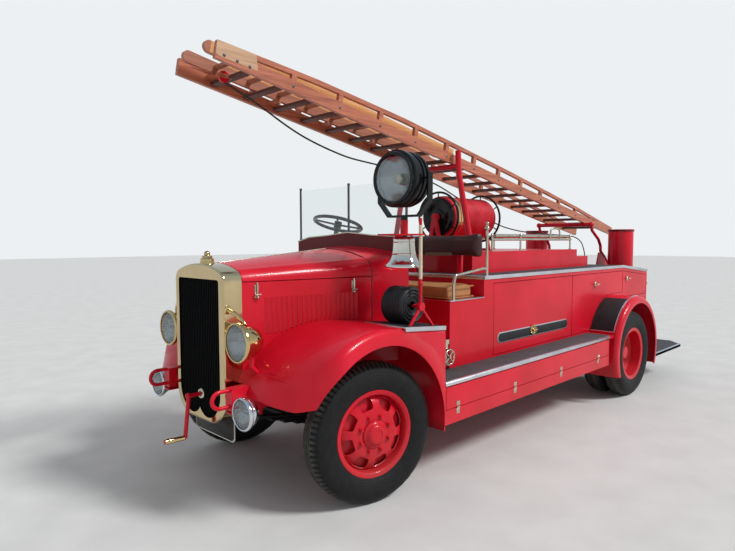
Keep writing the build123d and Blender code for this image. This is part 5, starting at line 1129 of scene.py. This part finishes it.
# %% Sleeve, plate and cap
sleeve = [(0.0100, 1.400), (0.0118, 1.400), (0.0118, 1.745), (0.0100, 1.745), (0.0100, 1.400)]
cream_sleeve = enamel("cream stove enamel", "#C9BFA4", "#DDD4BC", roughness=0.35)
piece("pole_sleeve", [turned(sleeve, (-0.300, 0.930, 0), steps=32)], cream_sleeve, "vehicle")
PLATE_X, PLATE_MIDDLE = (0.657, 0.661), 0.475
border = [(-0.222, 0.392), (0.222, 0.392), (0.244, 0.414), (0.244, 0.536), (0.222, 0.558), (-0.222, 0.558),
          (-0.244, 0.536), (-0.244, 0.414)]
field = [(y * 0.965, PLATE_MIDDLE + (z - PLATE_MIDDLE) * 0.9) for y, z in border]
pale_enamel = enamel("pale stove enamel", "#C9C6BC", "#D8D5CB", roughness=0.35)
piece("plate_border", [sawn(border, *PLATE_X, "x", 0.001)], pale_enamel, "vehicle")
face = sawn(field, PLATE_X[1], PLATE_X[1] + 0.002, "x", 0.0005)
piece("plate_field", [face], black_enamel, "vehicle")
filler = [(0, 0.0), (0.044, 0.0), (0.047, 0.006), (0.047, 0.016), (0.042, 0.024), (0.043, 0.034),
          (0.034, 0.046), (0.020, 0.056), (0.010, 0.060), (0.010, 0.066), (0.0, 0.066)]
piece("filler_cap", [turned(filler, (0.690, 0, 1.4965), steps=48)], polished_brass, "vehicle")

# %% [markdown]
# Screen trims.
# The upright band under the glass is red painted darker as shade, with a nickel bead on its top edge, and
# the three pillars are dull steel tubes. The band is one with the scuttle in the frame, so thin covers go over
# it, and sleeves over the pillars.

# %% Screen trims
BAND = [(0, 1.711), (0.250, 1.688), (0.480, 1.676), (0.626, 1.642)]
outline = [(-y, z) for y, z in reversed(BAND[1:])] + BAND
low_edge = [(0.626, 1.515), (0.575, 1.526), (0.480, 1.568), (0.250, 1.596), (0, 1.610)]
lower = low_edge + [(-y, z) for y, z in reversed(low_edge[:-1])]
# the band's covers are painted a darker red as shade
covers = [sawn(outline + lower, x, x + 0.0018, "x") for x in (-0.5298, -0.5500)]
piece("screen_band", covers, red_enamel_painted_shade, "vehicle")
beads = [tube([(x, y, z + 0.001) for y, z in outline], radius)
         for x, radius in ((-0.5275, 0.006), (-0.5485, 0.005))]
piece("screen_beads", beads, nickel_plate, "vehicle")
sleeves = []
for y, foot in ((-0.600, 1.652), (0, 1.712), (0.600, 1.652)):
    pillar = [(0, foot), (0.0125, foot), (0.0125, foot + 0.010), (0.0098, foot + 0.016), (0.0098, 2.078),
              (0.012, 2.082), (0.011, 2.092), (0, 2.095)]
    sleeves.append(turned(pillar, (-0.538, y, 0), steps=24))
piece("screen_pillars", sleeves, dull_steel, "vehicle")

# %% [markdown]
# Seats.
# The bench is a tan hide box cushion and the back a dark maroon pad. Real ones are stuffed, so their faces
# swell between the seams while the piped edges stay nearly straight. Cloth simulation gives that: a
# slightly small block, remeshed to even squares, is blown up by a soft pressure, and each point may move
# only 14 mm, which keeps the box shape that the photograph shows. Piping goes on afterwards, along the
# edges.

# %% Stuffing helper
SWELL, SQUARE = 0.014, 0.014
STEPS, FILL = 20, 0.85


def stuffed(name, low, high, round_by, finish, node):
    """A padded box, swollen by cloth simulation and kept near its own shape."""
    shape = slab(*zip(low, high), round_by, 4)
    bmesh.ops.recalc_face_normals(shape, faces=shape.faces)
    data = bpy.data.meshes.new(name)
    shape.to_mesh(data)
    shape.free()
    pad = bpy.data.objects.new(name, data)
    bpy.context.scene.collection.objects.link(pad)
    remesh = pad.modifiers.new("even squares", "REMESH")
    remesh.mode = "VOXEL"
    remesh.voxel_size = SQUARE
    bpy.context.view_layer.update()
    even = bpy.data.meshes.new_from_object(pad.evaluated_get(bpy.context.evaluated_depsgraph_get()))
    pad.modifiers.clear()
    pad.data = even
    before = [vert.co.copy() for vert in even.vertices]
    cloth = pad.modifiers.new("stuffing", "CLOTH")
    cloth.settings.use_pressure = True
    cloth.settings.uniform_pressure_force = 4.0
    cloth.settings.effector_weights.gravity = 0.0
    cloth.point_cache.frame_start = 1
    cloth.point_cache.frame_end = STEPS
    for step in range(1, STEPS + 1):
        bpy.context.scene.frame_set(step)
    blown = bpy.data.meshes.new_from_object(pad.evaluated_get(bpy.context.evaluated_depsgraph_get()))
    pad.modifiers.clear()
    pad.data = blown
    bpy.context.scene.frame_set(1)
    for vert, start in zip(pad.data.vertices, before):
        move = vert.co - start
        if move.length > SWELL:
            vert.co = start + move * (SWELL / move.length)
    smoother = pad.modifiers.new("smooth hide", "SUBSURF")
    smoother.levels = 1
    smoother.render_levels = 1
    pad.data.materials.clear()
    pad.data.materials.append(finish)
    pad.data.shade_smooth()
    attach(pad, "vehicle")
    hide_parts(node)
    far = max((vert.co - start).length for vert, start in zip(pad.data.vertices, before))
    print(name, len(pad.data.vertices), "points, swelled by up to", round(far * 1000, 1), "mm")


# %% Seats
stuffed("bench_cushion", (-1.230, -0.690, 1.204), (-0.916, 0.690, 1.296), 0.016, tan_leather,
        "seat_cushion")
stuffed("back_pad", (-1.322, -0.726, 1.514), (-1.250, 0.726, 1.700), 0.022, maroon_leather,
        "seat_back")
stays = [slab((-1.330, -1.300), (y - 0.020, y + 0.020), (1.362, 1.560), 0.003) for y in (-0.5, 0.0, 0.5)]
piece("back_stays", stays, red_enamel, "vehicle", stands_for=("seat_back",))


def piping(x0, x1, y0, y1, z, turn):
    """A closed piped line round a box, with rounded corners."""
    line = []
    for cx, cy, start in ((x1 - turn, y1 - turn, 0), (x0 + turn, y1 - turn, 90), (x0 + turn, y0 + turn, 180),
                          (x1 - turn, y0 + turn, 270)):
        for angle in (radians(start + a) for a in (0, 30, 60, 90)):
            line.append((cx + turn * cos(angle), cy + turn * sin(angle), z))
    return tube(line, 0.0045, closed=True, rounds=2)


seams = [piping(-1.236, -0.910, -0.696, 0.696, z, 0.022) for z in (1.212, 1.292)]
piece("bench_piping", seams, tan_leather, "vehicle", stands_for=("seat_cushion",))
plate = slab((-1.2445, -1.2395), (0.190, 0.470), (1.522, 1.628), 0.002)
olive_fibre = rubber("blank fibre plate", "#5F5446", "#73674F", roughness=0.55)
piece("blank_plate", [plate], olive_fibre, "vehicle")

# %% [markdown]
# Fittings of the deck and the ladder.
# The rear canisters are red with lids in a darker red as painted shade, and a loop handle stands on the
# deck pipe. At the ladder's head are a red pulley for the hauling line and bare ply cheeks. The ladder also
# gets the heads of its bolts, its rungs painted dark as shade and the pale facing boards of the sliding
# section, all placed along its own slope.

# %% Fittings of the deck
lid = [(0, 0.0), (0.146, 0.0), (0.1475, 0.006), (0.1475, 0.020), (0.142, 0.026), (0.060, 0.027), (0, 0.027)]
# the lids are painted a darker red as shade
lids = pair(turned(lid, (-4.470, 0.550, 1.749), steps=56))
piece("canister_lids", lids, red_enamel_painted_shade, "vehicle")
loop = tube([(-2.890, 0.470, 1.690), (-2.890, 0.470, 1.745), (-2.925, 0.470, 1.766), (-2.990, 0.470, 1.768),
             (-3.055, 0.470, 1.766), (-3.090, 0.470, 1.745), (-3.090, 0.470, 1.660)], 0.009, smooth=True)
loop_foot = tube([(-2.890, 0.470, 1.655), (-2.890, 0.470, 1.700)], 0.009)
piece("deck_loop", pair(loop) + pair(loop_foot), nickel_plate, "vehicle")

# %% Fittings of the ladder
TILT = (cos(LADDER_TILT), sin(LADDER_TILT))
LADDER_FOOT = 2.585     # the height of the ladder's lower edge over the front axle


def on_ladder(u, y, w):
    """A place along, across and above the ladder's lower edge."""
    return (u * TILT[0] - w * TILT[1], y, LADDER_FOOT + u * TILT[1] + w * TILT[0])


sheave = [(0.010, -0.010), (0.037, -0.010), (0.038, -0.007), (0.030, 0), (0.038, 0.007), (0.037, 0.010),
          (0.010, 0.010)]
pulley = turned(sheave, on_ladder(0.560, 0, 0.012), (0, 1, 0), 40)
piece("line_pulley", [pulley], red_enamel, "vehicle")
POSTS, FIRST_POST, POST_PITCH = 12, 0.192, 0.415
bolts = []
head = [(0, 0.0), (0.010, 0.0), (0.010, 0.003), (0.006, 0.006), (0, 0.006)]
for k in range(POSTS):
    bolts += pair(turned(head, on_ladder(FIRST_POST - POST_PITCH * k, 0.250, 0.040), (0, 1, 0), 10))
for u in (0.530, 0.620, 0.710):
    for w in (0.035, 0.095):
        bolts += pair(turned(head, on_ladder(u, 0.250 if w < 0.08 else 0.2445, w), (0, 1, 0), 10))
piece("ladder_bolts", bolts, dull_steel, "vehicle")


def along_ladder(u0, u1, w0, w1, y0, y1, width=0.0):
    """A strip of the ladder, between limits along it, up from it and across it."""
    corners = [on_ladder(u, 0, w) for u, w in ((u0, w0), (u1, w0), (u1, w1), (u0, w1))]
    return sawn([(x, z) for x, y, z in corners], y0, y1, "y", width)


# %% Rungs, facings and cheeks
RUNGS, FIRST_RUNG, RUNG_PITCH = 21, 0.505, 0.256
rungs = []
for k in range(RUNGS):
    middle = FIRST_RUNG - RUNG_PITCH * k
    rungs.append(along_ladder(middle - 0.025, middle + 0.025, 0.013, 0.035, -0.2195, 0.2195, 0.003))
# rungs in oak darkened as painted shade
piece("ladder_rungs", rungs, rung_timber_painted_shade, "vehicle")
facings = pair(along_ladder(-1.690, 0.750, 0.063, 0.132, 0.1448, 0.1468))
facings += pair(along_ladder(-1.690, 0.500, 0.131, 0.176, 0.1225, 0.1468, 0.003))
piece("fly_facings", facings, facing_timber, "ladder_fly")
corners = ((0.470, 0.030), (0.745, 0.018), (0.766, 0.030), (0.766, 0.108), (0.495, 0.126))
outline = [(x, z) for x, y, z in (on_ladder(u, 0, w) for u, w in corners)]
cheeks = pair(sawn(outline, 0.2495, 0.2515, "y"))
pale_sheet = timber("bare ply cheek", "#B08562", "#CFA785", "#8E6848", roughness=0.5, coat=0.1)
piece("head_cheeks", cheeks, pale_sheet, "vehicle")

# %% [markdown]
# Floor and light.
# The engine stands on a plain pale floor under soft studio light. A large sheet of pale floor catches the
# shadow that holds the wheels down. A low, even light from all round shows colours about as they are
# written, and one broad sun from high on the rear left gives form. Polished metal and enamel need something
# to mirror, so rays that come off a gloss see a pale sky that darkens upward and a grey ground, while the
# camera sees a plain pale backdrop.

# %% Floor
floor_mesh = bmesh.new()
bmesh.ops.create_grid(floor_mesh, x_segments=1, y_segments=1, size=60.0)
floor_data = bpy.data.meshes.new("floor")
floor_mesh.to_mesh(floor_data)
floor_mesh.free()
floor = bpy.data.objects.new("floor", floor_data)
bpy.context.scene.collection.objects.link(floor)
pale_floor, tree, shader, place = new_finish("pale studio floor", Roughness=0.8)
grit = add(tree, "ShaderNodeTexNoise", {"Vector": place, "Scale": 3.0, "Detail": 8.0})
colour = add(tree, "ShaderNodeValToRGB", {"Fac": grit.outputs["Fac"]},
             stops=[(0.3, "#C9C9C7"), (0.7, "#D2D2D0")])
tree.links.new(colour.outputs["Color"], shader.inputs["Base Color"])
floor_data.materials.append(pale_floor)

# %% Light
world = bpy.data.worlds.new("studio")
bpy.context.scene.world = world
world.use_nodes = True
tree = world.node_tree
tree.nodes.clear()
rays = add(tree, "ShaderNodeLightPath")
direction = add(tree, "ShaderNodeTexCoord").outputs["Generated"]
up = add(tree, "ShaderNodeSeparateXYZ", {"Vector": direction}).outputs["Z"]
height = add(tree, "ShaderNodeMapRange", {"Value": up, "From Min": -0.35, "From Max": 1.0})
sky = add(tree, "ShaderNodeValToRGB", {"Fac": height.outputs["Result"]},
          stops=[(0.0, "#777675"), (0.24, "#838280"), (0.27, "#DFE3E6"), (0.45, "#C4CED8"), (1.0, "#8FA6BC")])
mirrored = add(tree, "ShaderNodeBackground", {"Color": sky.outputs["Color"], "Strength": 1.0})
ambient = add(tree, "ShaderNodeBackground", {"Color": linear("#F4F6FA"), "Strength": 0.55})
backdrop = add(tree, "ShaderNodeBackground", {"Color": linear("#EDF0F2"), "Strength": 1.0})
lit = add(tree, "ShaderNodeMixShader", {"Fac": rays.outputs["Is Glossy Ray"], 1: ambient.outputs[0],
                                        2: mirrored.outputs[0]})
seen_through = add(tree, "ShaderNodeMixShader", {"Fac": rays.outputs["Is Transmission Ray"],
                                                 1: lit.outputs[0], 2: backdrop.outputs[0]})
seen = add(tree, "ShaderNodeMixShader", {"Fac": rays.outputs["Is Camera Ray"], 1: seen_through.outputs[0],
                                         2: backdrop.outputs[0]})
add(tree, "ShaderNodeOutputWorld", {"Surface": seen.outputs[0]})

sun_data = bpy.data.lights.new("broad_sun", "SUN")
sun_data.energy = 2.6
sun_data.angle = radians(14)
sun = bpy.data.objects.new("broad_sun", sun_data)
SUN_TRAVEL = Vector((0.35, -0.68, -0.75))       # forwards, to the right and down
sun.rotation_euler = SUN_TRAVEL.to_track_quat("-Z", "Y").to_euler()
bpy.context.scene.collection.objects.link(sun)
bpy.context.scene.view_settings.view_transform = "Standard"
print("lit with", sun_data.energy, "of sun")
